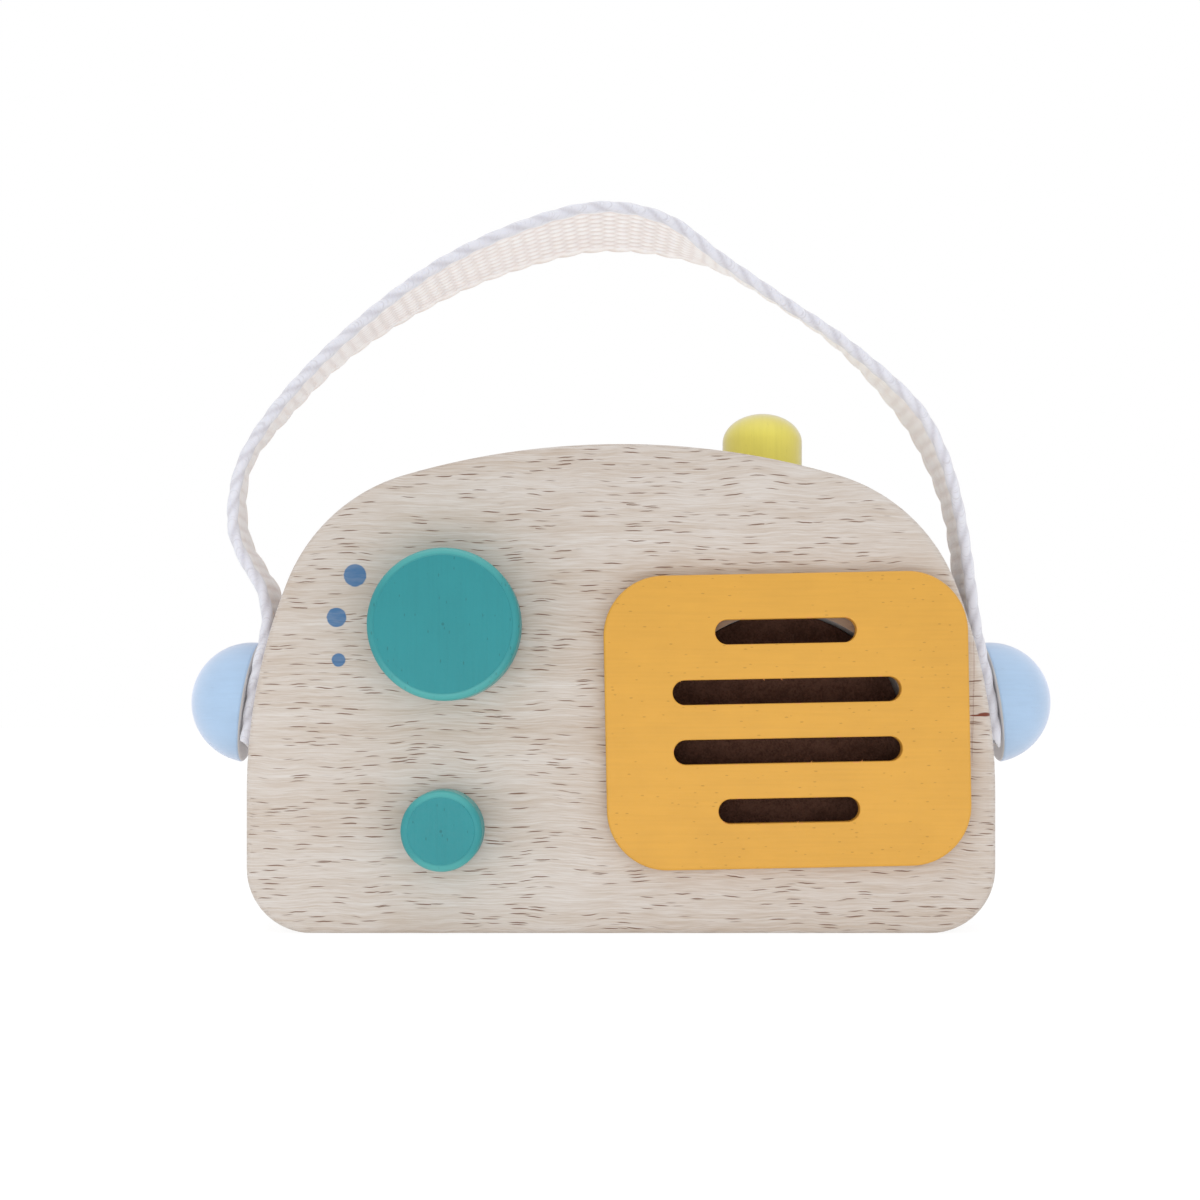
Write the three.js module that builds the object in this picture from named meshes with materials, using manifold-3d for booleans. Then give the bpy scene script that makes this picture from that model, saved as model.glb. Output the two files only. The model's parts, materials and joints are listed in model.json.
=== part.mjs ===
// Wooden toy radio: an arched beech block with two turning knobs, a slotted speaker plate, a sprung button
// on the crown and a carry strap of cotton webbing that half-ball caps hold at the sides.
// Millimetres, +Z up. The origin is the middle of the base. The front looks towards -Y, and +X is on the
// right of someone who looks at the front.
import * as THREE from "three";
import { mergeVertices } from "three/addons/utils/BufferGeometryUtils.js";
import Module from "manifold-3d";

// Case: an outline of tangent arcs, carried through the depth
const CASE_WIDTH = 150;
const CASE_HEIGHT = 98;
const CASE_DEPTH = 36;
const CROWN_RADIUS = 155;
const SHOULDER_RADIUS = 36;
const SIDE_RADIUS = 115;
const SIDE_START = 28; // height at which the upright side begins to lean in
const FOOT_RADIUS = 13;
const CASE_EDGE_ROUND = 1.5;

// Speaker: slotted plate, the round recess behind it, and the felt on the floor of the recess
const GRILLE_X = 33;
const GRILLE_Z = 42.6;
const GRILLE_WIDTH = 72.3;
const GRILLE_HEIGHT = 58.5;
const GRILLE_THICKNESS = 3.5;
const GRILLE_CORNER = 12;
const GRILLE_EDGE_ROUND = 0.6;
const GRILLE_TILT = 1.1; // degrees, the right-hand end up
const SLOT_WIDTH = 4.9;
const SLOT_PITCH = 11.85;
const LONG_SLOT = 45.3;
const SHORT_SLOT = 28;
const RECESS_X = 32.5;
const RECESS_Z = 39.4;
const RECESS_DIAMETER = 50;
const RECESS_DEPTH = 10;
const FELT_THICKNESS = 2;

// Knobs: turned discs on wooden spindles, which a washer and a screw hold from the back
const TUNING_X = -34.7;
const TUNING_Z = 61.5;
const TUNING_DIAMETER = 30;
const TUNING_SPINDLE = 10;
const VOLUME_X = -35.1;
const VOLUME_Z = 21.1;
const VOLUME_DIAMETER = 16;
const VOLUME_SPINDLE = 7;
const KNOB_THICKNESS = 10;
const KNOB_EDGE_ROUND = 1.4;
const KNOB_SOCKET = 7; // depth of the spindle's hole in the knob
const WASHER_OVERHANG = 2; // how far the washer reaches out over the edge of the bore
const WASHER_THICKNESS = 1;
const SCREW_DIAMETER = 3;
const SCREW_LENGTH = 12;
const SCREW_HEAD_DIAMETER = 6;
const SCREW_HEAD_HEIGHT = 2;
const COUNTERBORE_DEPTH = 10;
const PLUG_THICKNESS = 4;

// Button: a domed dowel on a spring, kept in by a cross dowel through a slot
const BUTTON_X = 29.4;
const BUTTON_DIAMETER = 16.5;
const BUTTON_PROTRUSION = 11; // top of the dome over the crown, at the button's middle
const BUTTON_DOME = 7.2;
const BUTTON_LENGTH = 24;
const BUTTON_TRAVEL = 5;
const SLOT_LEDGE = 2.5; // wood left between the slot and the button's lower end
const CROSS_DOWEL_DIAMETER = 4;
const CROSS_DOWEL_GRIP = 4; // depth of its hole past the button's bore
const SPRING_HEIGHT = 12;
const SPRING_DIAMETER = 13;
const SPRING_WIRE = 1;
const SPRING_TURNS = 5;

// Side caps: half balls on dowels, with the strap's ends under them
const CAP_Z = 45.7;
const CAP_DIAMETER = 25;
const CAP_EDGE_ROUND = 0.6;
const CAP_DOWEL_DIAMETER = 8;
const CAP_DOWEL_IN_CAP = 8;
const CAP_DOWEL_IN_CASE = 14;

// Strap: webbing held at both sides, with a bend near each shoulder on which it falls forwards or backwards
const STRAP_WIDTH = 20;
const STRAP_THICKNESS = 2.5;
const STRAP_END_DROP = 8.2; // strap below the middle of the cap, measured along the side
const STRAP_CLAMPED_RISE = 8.5; // strap above the middle of the cap that still lies along the side
const STRAP_BEND_DROP = 13; // the bend's axis below the top of the case

// Free run of the strap's middle line, left to right. A leg's point is its distance out from the case's side
// and its height over the top of the case; a point of the arch has its distance right of the middle instead.
// The last number is the twist in degrees, which lifts or turns out the back edge.
const LEFT_LEG = [
  [-2.8, -35, 0],
  [-1.6, -28.5, 0],
  [1.2, -23.8, 0],
  [4.2, -17.5, 2],
  [4.8, -10.5, 5],
  [3.2, -2, 8],
  [-3.5, 8, 5],
];
const ARCH = [
  [-57, 22.7, 2],
  [-34, 37.9, -8],
  [-10, 46.4, -14],
  [0, 47.1, -14],
  [10, 45.1, -8],
  [20, 40.2, 6],
  [34, 31.3, 10],
  [46.5, 22.5, 8],
];
const RIGHT_LEG = [
  [-14.5, 8.3, 0],
  [-9.6, -0.5, 0],
  [-6.3, -10, 2],
  [-4.3, -21, 2],
  [-2.8, -35, 0],
];

// Fits
const GLUE_LINE = 0.2; // between glued flat faces
const GLUED_FIT = 0.15; // round a glued dowel, plug or disc
const RUNNING_FIT = 0.25; // round a spindle or a button that moves in its bore
const RUNNING_GAP = 0.5; // between a turning face and the face beside it
const SEAT_GAP = 0.3; // between faces that rest on each other, and at the ends of holes

// Facets
const ROUND_SIDES = 40;
const INNER_SIDES = 24;
const ARC_STEPS = 7;
const EDGE_STEPS = 2;
const SMALL_ARC_STEPS = 4;
const STRAP_STEPS = 3; // sections for each point of the route
const COIL_STEPS = 12; // for each turn
const WIRE_SIDES = 6;
const SAME_POINT = 1e-4;
const OVERSHOOT = 2; // by which a cutting shape passes the surface that it opens

// Derived places
const FRONT = -CASE_DEPTH / 2;
const BACK = CASE_DEPTH / 2;
const STRAP_BEND_Z = CASE_HEIGHT - STRAP_BEND_DROP;

const BEECH = { color: 0xccc0b2, roughness: 0.62, metalness: 0 };
const MUSTARD = { color: 0xe0ab51, roughness: 0.55, metalness: 0 };
const TEAL = { color: 0x43979c, roughness: 0.45, metalness: 0 };
const LEMON = { color: 0xdacc63, roughness: 0.5, metalness: 0 };
const SKY_BLUE = { color: 0xb1cbe7, roughness: 0.45, metalness: 0 };
const COTTON = { color: 0xe9e4e5, roughness: 0.9, metalness: 0 };
const DARK_FELT = { color: 0x2c1c16, roughness: 1, metalness: 0 };
const STEEL = { color: 0x9a9a9a, roughness: 0.35, metalness: 1 };

const wasm = await Module();
wasm.setup();

function solidOf(geometry) {
  const bare = geometry.clone();
  bare.deleteAttribute("normal");
  bare.deleteAttribute("uv");
  const merged = mergeVertices(bare, SAME_POINT);
  const vertProperties = merged.attributes.position.array;
  const triVerts = new Uint32Array(merged.index.array);
  return new wasm.Manifold(new wasm.Mesh({ numProp: 3, vertProperties, triVerts }));
}

function geometryOf(solid) {
  const { vertProperties, triVerts } = solid.getMesh();
  const geometry = new THREE.BufferGeometry();
  geometry.setAttribute("position", new THREE.BufferAttribute(vertProperties, 3));
  geometry.setIndex(new THREE.BufferAttribute(triVerts, 1));
  geometry.computeVertexNormals();
  return geometry;
}

function subtract(geometry, tools) {
  const cut = tools.reduce((left, tool) => left.subtract(solidOf(tool)), solidOf(geometry));
  return geometryOf(cut);
}

function addPiece(parent, name, geometry, finish) {
  const mesh = new THREE.Mesh(geometry, new THREE.MeshStandardMaterial(finish));
  mesh.name = name;
  parent.add(mesh);
}

// Points on an arc, both ends included, with the angles in radians
function arc(x, y, radius, from, to, steps) {
  const points = [];
  for (let i = 0; i <= steps; i++) {
    const angle = from + ((to - from) * i) / steps;
    points.push(new THREE.Vector2(x + radius * Math.cos(angle), y + radius * Math.sin(angle)));
  }
  return points;
}

// A closed outline, without the doubled points where its arcs meet
function withoutDoubles(points) {
  return points.filter((point, i) => point.distanceTo(points[(i + 1) % points.length]) > SAME_POINT);
}

// A board cut to an outline in the XZ plane, with rounded edges, from its front face backwards
function board(shape, front, thickness, edgeRound) {
  const geometry = new THREE.ExtrudeGeometry(shape, {
    depth: thickness - 2 * edgeRound,
    bevelThickness: edgeRound,
    bevelSize: edgeRound,
    bevelOffset: -edgeRound,
    bevelSegments: EDGE_STEPS,
  });
  geometry.rotateX(Math.PI / 2);
  geometry.translate(0, front + thickness - edgeRound, 0);
  return geometry;
}

// A turned piece about the Y axis, from a profile of [radius, place along the axis]
function turned(profile, sides) {
  const points = profile.map(([radius, along]) => new THREE.Vector2(radius, along));
  return new THREE.LatheGeometry(points, sides);
}

function rod(radius, from, to, sides) {
  return turned([[0, from], [radius, from], [radius, to], [0, to]], sides);
}

// The same pieces with their axis along +Z or +X
function upright(geometry) {
  return geometry.rotateX(Math.PI / 2);
}

function sideways(geometry) {
  return geometry.rotateZ(-Math.PI / 2);
}

// Centres of the outline's arcs on the right-hand half, and the angles at which one passes into the next
function outlineArcs() {
  const crown = new THREE.Vector2(0, CASE_HEIGHT - CROWN_RADIUS);
  const side = new THREE.Vector2(CASE_WIDTH / 2 - SIDE_RADIUS, SIDE_START);
  const fromCrown = CROWN_RADIUS - SHOULDER_RADIUS;
  const fromSide = SIDE_RADIUS - SHOULDER_RADIUS;
  const line = side.clone().sub(crown);
  const distance = line.length();
  const along = (distance ** 2 + fromCrown ** 2 - fromSide ** 2) / (2 * distance);
  const aside = Math.sqrt(fromCrown ** 2 - along ** 2);
  line.normalize();
  const square = new THREE.Vector2(line.y, -line.x);
  const shoulder = crown.clone().addScaledVector(line, along).addScaledVector(square, aside);
  const crownAngle = shoulder.clone().sub(crown).angle();
  const sideAngle = shoulder.clone().sub(side).angle();
  return { crown, shoulder, side, crownAngle, sideAngle };
}

const ARCS = outlineArcs();

// Height of the case's top at a distance from the middle, on the crown or past it on the shoulder
function topAt(x) {
  const onCrown = Math.abs(x) < CROWN_RADIUS * Math.cos(ARCS.crownAngle);
  const centre = onCrown ? ARCS.crown : ARCS.shoulder;
  const radius = onCrown ? CROWN_RADIUS : SHOULDER_RADIUS;
  return centre.y + Math.sqrt(radius ** 2 - (Math.abs(x) - centre.x) ** 2);
}

function caseShape() {
  const { crown, shoulder, side, crownAngle, sideAngle } = ARCS;
  const corner = CASE_WIDTH / 2 - FOOT_RADIUS;
  const right = [
    ...arc(corner, FOOT_RADIUS, FOOT_RADIUS, -Math.PI / 2, 0, ARC_STEPS),
    ...arc(side.x, side.y, SIDE_RADIUS, 0, sideAngle, ARC_STEPS),
    ...arc(shoulder.x, shoulder.y, SHOULDER_RADIUS, sideAngle, crownAngle, ARC_STEPS),
    ...arc(crown.x, crown.y, CROWN_RADIUS, crownAngle, Math.PI / 2, ARC_STEPS),
  ];
  const left = right.map((point) => new THREE.Vector2(-point.x, point.y)).reverse();
  return new THREE.Shape(withoutDoubles([...right, ...left]));
}

// Where a cap stands: a frame on the case's side at the cap's height, with +X straight out of the side
function sideFrame(direction) {
  const lean = Math.asin((CAP_Z - SIDE_START) / SIDE_RADIUS);
  const frame = new THREE.Group();
  frame.position.set(direction * (ARCS.side.x + SIDE_RADIUS * Math.cos(lean)), 0, CAP_Z);
  frame.rotation.y = direction > 0 ? -lean : Math.PI + lean;
  frame.updateMatrixWorld(true);
  return frame;
}

function capDowelHole(frame, inner, outer) {
  const hole = sideways(rod(CAP_DOWEL_DIAMETER / 2 + GLUED_FIT, inner, outer, INNER_SIDES));
  return hole.applyMatrix4(frame.matrixWorld);
}

// Places along the knob's axis, which both knobs share
const KNOB_BACK = FRONT - RUNNING_GAP;
const KNOB_FRONT = KNOB_BACK - KNOB_THICKNESS;
const COUNTERBORE_FLOOR = BACK - COUNTERBORE_DEPTH;
const SPINDLE_END = COUNTERBORE_FLOOR + SEAT_GAP;
const WASHER_FRONT = SPINDLE_END + GLUE_LINE;
const SCREW_SEAT = WASHER_FRONT + WASHER_THICKNESS + GLUE_LINE;

// A knob's bore through the case, and the counterbore for its washer, screw and plug
function knobBore(x, z, spindle) {
  const bore = spindle / 2 + RUNNING_FIT;
  const counterbore = bore + WASHER_OVERHANG + RUNNING_GAP;
  const profile = [
    [0, FRONT - OVERSHOOT],
    [bore, FRONT - OVERSHOOT],
    [bore, COUNTERBORE_FLOOR],
    [counterbore, COUNTERBORE_FLOOR],
    [counterbore, BACK + OVERSHOOT],
    [0, BACK + OVERSHOOT],
  ];
  return turned(profile, INNER_SIDES).translate(x, 0, z);
}

// Heights along the button's axis
const BUTTON_TOP = topAt(BUTTON_X) + BUTTON_PROTRUSION;
const BUTTON_FOOT = BUTTON_TOP - BUTTON_LENGTH;
const BUTTON_BORE_FLOOR = BUTTON_FOOT - SPRING_HEIGHT;
const BUTTON_BORE_RADIUS = BUTTON_DIAMETER / 2 + RUNNING_FIT;
const CROSS_DOWEL_Z = BUTTON_FOOT + SLOT_LEDGE + SEAT_GAP + CROSS_DOWEL_DIAMETER / 2;
const CROSS_DOWEL_TIP = -BUTTON_BORE_RADIUS - CROSS_DOWEL_GRIP;

function caseBlock(parent, sideFrames) {
  const speaker = rod(RECESS_DIAMETER / 2, FRONT - OVERSHOOT, FRONT + RECESS_DEPTH, ROUND_SIDES);
  const button = upright(rod(BUTTON_BORE_RADIUS, BUTTON_BORE_FLOOR, CASE_HEIGHT + OVERSHOOT, ROUND_SIDES));
  const crossDowel = CROSS_DOWEL_DIAMETER / 2 + GLUED_FIT;
  const bores = [
    speaker.translate(RECESS_X, 0, RECESS_Z),
    knobBore(TUNING_X, TUNING_Z, TUNING_SPINDLE),
    knobBore(VOLUME_X, VOLUME_Z, VOLUME_SPINDLE),
    button.translate(BUTTON_X, 0, 0),
    rod(crossDowel, CROSS_DOWEL_TIP, BACK + OVERSHOOT, INNER_SIDES).translate(BUTTON_X, 0, CROSS_DOWEL_Z),
    ...sideFrames.map((frame) => capDowelHole(frame, -CAP_DOWEL_IN_CASE, OVERSHOOT)),
  ];
  const block = board(caseShape(), FRONT, CASE_DEPTH, CASE_EDGE_ROUND);
  addPiece(parent, "case_block", subtract(block, bores), BEECH);
}

function roundedRectangle(width, height, radius, steps) {
  const x = width / 2 - radius;
  const y = height / 2 - radius;
  const quarter = Math.PI / 2;
  return withoutDoubles([
    ...arc(x, -y, radius, -quarter, 0, steps),
    ...arc(x, y, radius, 0, quarter, steps),
    ...arc(-x, y, radius, quarter, 2 * quarter, steps),
    ...arc(-x, -y, radius, 2 * quarter, 3 * quarter, steps),
  ]);
}

// The plate's outer slots are short and its inner ones long, as they follow the round recess
function grilleShape() {
  const shape = new THREE.Shape(roundedRectangle(GRILLE_WIDTH, GRILLE_HEIGHT, GRILLE_CORNER, ARC_STEPS));
  const lengths = [SHORT_SLOT, LONG_SLOT, LONG_SLOT, SHORT_SLOT];
  lengths.forEach((length, i) => {
    const rise = (i - (lengths.length - 1) / 2) * SLOT_PITCH;
    const slot = roundedRectangle(length, SLOT_WIDTH, SLOT_WIDTH / 2, SMALL_ARC_STEPS);
    slot.forEach((point) => (point.y += rise));
    shape.holes.push(new THREE.Path(slot));
  });
  return shape;
}

function speaker(parent) {
  const recess = new THREE.Group();
  recess.position.set(RECESS_X, 0, RECESS_Z);
  parent.add(recess);
  const felt = RECESS_DIAMETER / 2 - GLUED_FIT;
  const floor = FRONT + RECESS_DEPTH - GLUE_LINE;
  addPiece(recess, "speaker_felt", rod(felt, floor - FELT_THICKNESS, floor, ROUND_SIDES), DARK_FELT);
  const tilted = new THREE.Group();
  tilted.position.set(GRILLE_X, 0, GRILLE_Z);
  tilted.rotation.y = -THREE.MathUtils.degToRad(GRILLE_TILT);
  parent.add(tilted);
  const front = FRONT - GLUE_LINE - GRILLE_THICKNESS;
  const plate = board(grilleShape(), front, GRILLE_THICKNESS, GRILLE_EDGE_ROUND);
  addPiece(tilted, "speaker_grille", plate, MUSTARD);
}

// A profile's rounded edge, as [radius, place along the axis]
function roundedEdge(radius, along, edgeRound, from, to) {
  return arc(radius, along, edgeRound, from, to, EDGE_STEPS).map((point) => [point.x, point.y]);
}

function knobDisc(diameter, socket) {
  const inset = diameter / 2 - KNOB_EDGE_ROUND;
  const profile = [
    [0, KNOB_FRONT],
    ...roundedEdge(inset, KNOB_FRONT + KNOB_EDGE_ROUND, KNOB_EDGE_ROUND, -Math.PI / 2, 0),
    ...roundedEdge(inset, KNOB_BACK - KNOB_EDGE_ROUND, KNOB_EDGE_ROUND, 0, Math.PI / 2),
    [socket, KNOB_BACK],
    [socket, KNOB_BACK - KNOB_SOCKET],
    [0, KNOB_BACK - KNOB_SOCKET],
  ];
  return turned(profile, ROUND_SIDES);
}

function spindleRod(radius) {
  const pilot = SCREW_DIAMETER / 2 + GLUED_FIT;
  const pilotEnd = SCREW_SEAT - SCREW_LENGTH - SEAT_GAP;
  const start = KNOB_BACK - KNOB_SOCKET + SEAT_GAP;
  const profile = [
    [0, start],
    [radius, start],
    [radius, SPINDLE_END],
    [pilot, SPINDLE_END],
    [pilot, pilotEnd],
    [0, pilotEnd],
  ];
  return turned(profile, INNER_SIDES);
}

function washerRing(outer) {
  const inner = SCREW_DIAMETER / 2 + GLUED_FIT;
  const back = WASHER_FRONT + WASHER_THICKNESS;
  const profile = [
    [inner, WASHER_FRONT],
    [outer, WASHER_FRONT],
    [outer, back],
    [inner, back],
    [inner, WASHER_FRONT],
  ];
  return turned(profile, INNER_SIDES);
}

function screwShape() {
  const shank = SCREW_DIAMETER / 2;
  const head = SCREW_HEAD_DIAMETER / 2;
  const tip = SCREW_SEAT - SCREW_LENGTH;
  const profile = [
    [0, tip],
    [shank, tip + shank],
    [shank, SCREW_SEAT],
    [head, SCREW_SEAT],
    [head, SCREW_SEAT + SCREW_HEAD_HEIGHT / 2],
    [head / 2, SCREW_SEAT + SCREW_HEAD_HEIGHT],
    [0, SCREW_SEAT + SCREW_HEAD_HEIGHT],
  ];
  return turned(profile, INNER_SIDES);
}

function knob(parent, name, x, z, diameter, spindle) {
  const place = new THREE.Group();
  place.position.set(x, 0, z);
  parent.add(place);
  const washer = spindle / 2 + RUNNING_FIT + WASHER_OVERHANG;
  const plug = washer + RUNNING_GAP - GLUED_FIT;
  addPiece(place, `${name}_knob`, knobDisc(diameter, spindle / 2 + GLUED_FIT), TEAL);
  addPiece(place, `${name}_spindle`, spindleRod(spindle / 2), BEECH);
  addPiece(place, `${name}_washer`, washerRing(washer), STEEL);
  addPiece(place, `${name}_screw`, screwShape(), STEEL);
  addPiece(place, `${name}_plug`, rod(plug, BACK - PLUG_THICKNESS, BACK, INNER_SIDES), BEECH);
}

function buttonDowel() {
  const radius = BUTTON_DIAMETER / 2;
  const dome = arc(0, 0, 1, 0, Math.PI / 2, ARC_STEPS);
  const profile = [
    [0, BUTTON_FOOT],
    [radius, BUTTON_FOOT],
    ...dome.slice(0, -1).map((point) => [radius * point.x, BUTTON_TOP - BUTTON_DOME * (1 - point.y)]),
    [0, BUTTON_TOP],
  ];
  return upright(turned(profile, ROUND_SIDES));
}

// The slot lets the button travel past the cross dowel
function buttonSlot() {
  const width = CROSS_DOWEL_DIAMETER + 2 * SEAT_GAP;
  const shape = new THREE.Shape(roundedRectangle(width, width + BUTTON_TRAVEL, width / 2, SMALL_ARC_STEPS));
  const length = BUTTON_DIAMETER + 2 * OVERSHOOT;
  const slot = new THREE.ExtrudeGeometry(shape, { depth: length, bevelEnabled: false });
  slot.rotateX(Math.PI / 2);
  return slot.translate(0, length / 2, CROSS_DOWEL_Z + BUTTON_TRAVEL / 2);
}

class SpringLine extends THREE.Curve {
  getPoint(t, target = new THREE.Vector3()) {
    const angle = 2 * Math.PI * SPRING_TURNS * t;
    const radius = (SPRING_DIAMETER - SPRING_WIRE) / 2;
    const start = BUTTON_BORE_FLOOR + SEAT_GAP + SPRING_WIRE / 2;
    const rise = SPRING_HEIGHT - 2 * SEAT_GAP - SPRING_WIRE;
    return target.set(radius * Math.cos(angle), radius * Math.sin(angle), start + rise * t);
  }
}

function springCoil() {
  const line = new SpringLine();
  const wire = new THREE.Shape(withoutDoubles(arc(0, 0, SPRING_WIRE / 2, 0, 2 * Math.PI, WIRE_SIDES)));
  const steps = SPRING_TURNS * COIL_STEPS;
  const apart = line.getPoint(0).distanceTo(line.getPoint(1 / SPRING_TURNS)) - SPRING_WIRE;
  console.log(`button_spring: least gap between turns ${apart.toFixed(2)} mm`);
  return new THREE.ExtrudeGeometry(wire, { steps, extrudePath: line, bevelEnabled: false });
}

function button(parent) {
  const place = new THREE.Group();
  place.position.set(BUTTON_X, 0, 0);
  parent.add(place);
  const dowel = rod(CROSS_DOWEL_DIAMETER / 2, CROSS_DOWEL_TIP + SEAT_GAP, BACK, INNER_SIDES);
  addPiece(place, "button", subtract(buttonDowel(), [buttonSlot()]), LEMON);
  addPiece(place, "button_spring", springCoil(), STEEL);
  addPiece(place, "button_retaining_dowel", dowel.translate(0, 0, CROSS_DOWEL_Z), BEECH);
}

// The cap's flat base stands on the strap, which lies on the case's side
const CAP_BASE = SEAT_GAP + STRAP_THICKNESS + SEAT_GAP;

function capBall() {
  const radius = CAP_DIAMETER / 2;
  const socket = CAP_DOWEL_DIAMETER / 2 + GLUED_FIT;
  const floor = CAP_BASE + CAP_DOWEL_IN_CAP;
  const ball = arc(0, CAP_BASE, radius, 0, Math.PI / 2, ARC_STEPS);
  const edge = [radius - CAP_EDGE_ROUND, CAP_BASE];
  const profile = [
    [0, floor],
    [socket, floor],
    [socket, CAP_BASE],
    edge,
    [radius * Math.cos(CAP_EDGE_ROUND / radius), CAP_BASE + CAP_EDGE_ROUND],
    ...ball.slice(1, -1).map((point) => [point.x, point.y]),
    [0, CAP_BASE + radius],
  ];
  return sideways(turned(profile, ROUND_SIDES));
}

function cap(parent, name, frame) {
  const inner = -CAP_DOWEL_IN_CASE + SEAT_GAP;
  const outer = CAP_BASE + CAP_DOWEL_IN_CAP - SEAT_GAP;
  parent.add(frame);
  addPiece(frame, `${name}_strap_cap`, capBall(), SKY_BLUE);
  const dowel = sideways(rod(CAP_DOWEL_DIAMETER / 2, inner, outer, INNER_SIDES));
  addPiece(frame, `${name}_cap_dowel`, dowel, BEECH);
}

// The strap's middle line where it lies along the right-hand side under the cap, from the top down
function clampedRun() {
  const radius = SIDE_RADIUS + SEAT_GAP + STRAP_THICKNESS / 2;
  const lean = Math.asin((CAP_Z - SIDE_START) / SIDE_RADIUS);
  const top = lean + STRAP_CLAMPED_RISE / radius;
  const end = lean - STRAP_END_DROP / radius;
  const run = arc(ARCS.side.x, ARCS.side.y, radius, top, end, SMALL_ARC_STEPS);
  return run.map((point) => [point.x, point.y, 0]);
}

// The whole middle line as points of [x, z, twist], from the left end over the arch to the right end
function strapRoute() {
  const clamped = clampedRun();
  const side = CASE_WIDTH / 2;
  return [
    ...clamped.map(([x, z, twist]) => [-x, z, twist]).reverse(),
    ...LEFT_LEG.map(([out, up, twist]) => [-side - out, CASE_HEIGHT + up, twist]),
    ...ARCH.map(([x, up, twist]) => [x, CASE_HEIGHT + up, twist]),
    ...RIGHT_LEG.map(([out, up, twist]) => [side + out, CASE_HEIGHT + up, twist]),
    ...clamped,
  ];
}

// The four corners of the strap's section at a place on its route
function strapSection(line, twists, t) {
  const middle = line.getPoint(t);
  const along = line.getTangent(t);
  const out = new THREE.Vector3(-along.z, 0, along.x);
  const twist = THREE.MathUtils.degToRad(twists.getPoint(t).y);
  const across = new THREE.Vector3(0, Math.cos(twist), 0).addScaledVector(out, Math.sin(twist));
  const through = out.clone().multiplyScalar(Math.cos(twist));
  through.y -= Math.sin(twist);
  const corners = [[-1, 1], [1, 1], [1, -1], [-1, -1]];
  return corners.map(([w, t]) =>
    middle
      .clone()
      .addScaledVector(across, (w * STRAP_WIDTH) / 2)
      .addScaledVector(through, (t * STRAP_THICKNESS) / 2),
  );
}

// The whole strap: its section carried along the route, with closed ends
function webbing() {
  const route = strapRoute();
  const line = new THREE.CatmullRomCurve3(route.map(([x, z]) => new THREE.Vector3(x, 0, z)));
  const twists = new THREE.SplineCurve(route.map(([, , twist], i) => new THREE.Vector2(i, twist)));
  const steps = (route.length - 1) * STRAP_STEPS;
  const corners = [];
  const faces = [];
  for (let i = 0; i <= steps; i++) {
    corners.push(...strapSection(line, twists, i / steps));
  }
  for (let start = 0; start < steps * 4; start += 4) {
    for (let a = 0; a < 4; a++) {
      const b = (a + 1) % 4;
      faces.push(start + a, start + 4 + a, start + b);
      faces.push(start + b, start + 4 + a, start + 4 + b);
    }
  }
  const last = steps * 4;
  faces.push(0, 1, 2, 0, 2, 3);
  faces.push(last, last + 2, last + 1, last, last + 3, last + 2);
  return new THREE.BufferGeometry().setFromPoints(corners).setIndex(faces);
}

// A block as wide as the strap's loop, between two heights and two distances right of the middle
function blockBetween(left, right, low, high) {
  const block = new THREE.BoxGeometry(right - left, 2 * CASE_DEPTH, high - low);
  return block.translate((left + right) / 2, 0, (low + high) / 2);
}

// The strap swings on a line across both legs. The free span ends in round tongues about that line, and the
// tabs under the caps end just below them, so that the two can turn past each other.
function strap(parent, leftFrame, rightFrame) {
  const reach = CASE_WIDTH;
  const top = 2 * CASE_HEIGHT;
  const tongue = STRAP_WIDTH / 2;
  const tabTop = STRAP_BEND_Z - tongue - SEAT_GAP;
  const whole = solidOf(webbing());
  const roundEnds = sideways(rod(tongue, -reach, reach, ROUND_SIDES)).translate(0, 0, STRAP_BEND_Z);
  const above = solidOf(blockBetween(-reach, reach, STRAP_BEND_Z, top)).add(solidOf(roundEnds));
  const tab = (frame, left, right) => {
    const below = whole.intersect(solidOf(blockBetween(left, right, 0, tabTop)));
    const hole = solidOf(capDowelHole(frame, 0, CAP_BASE));
    return geometryOf(below.subtract(hole));
  };
  addPiece(parent, "strap_span", geometryOf(whole.intersect(above)), COTTON);
  addPiece(parent, "strap_left_tab", tab(leftFrame, -reach, 0), COTTON);
  addPiece(parent, "strap_right_tab", tab(rightFrame, 0, reach), COTTON);
}

const radio = new THREE.Group();
const leftFrame = sideFrame(-1);
const rightFrame = sideFrame(1);
caseBlock(radio, [leftFrame, rightFrame]);
speaker(radio);
knob(radio, "tuning", TUNING_X, TUNING_Z, TUNING_DIAMETER, TUNING_SPINDLE);
knob(radio, "volume", VOLUME_X, VOLUME_Z, VOLUME_DIAMETER, VOLUME_SPINDLE);
button(radio);
cap(radio, "left", leftFrame);
cap(radio, "right", rightFrame);
strap(radio, leftFrame, rightFrame);

export default radio;
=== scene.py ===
import json
import math

import bmesh
import bpy
from mathutils import Color, Matrix, Vector, noise
from mathutils.geometry import interpolate_bezier, intersect_sphere_sphere_2d


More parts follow.
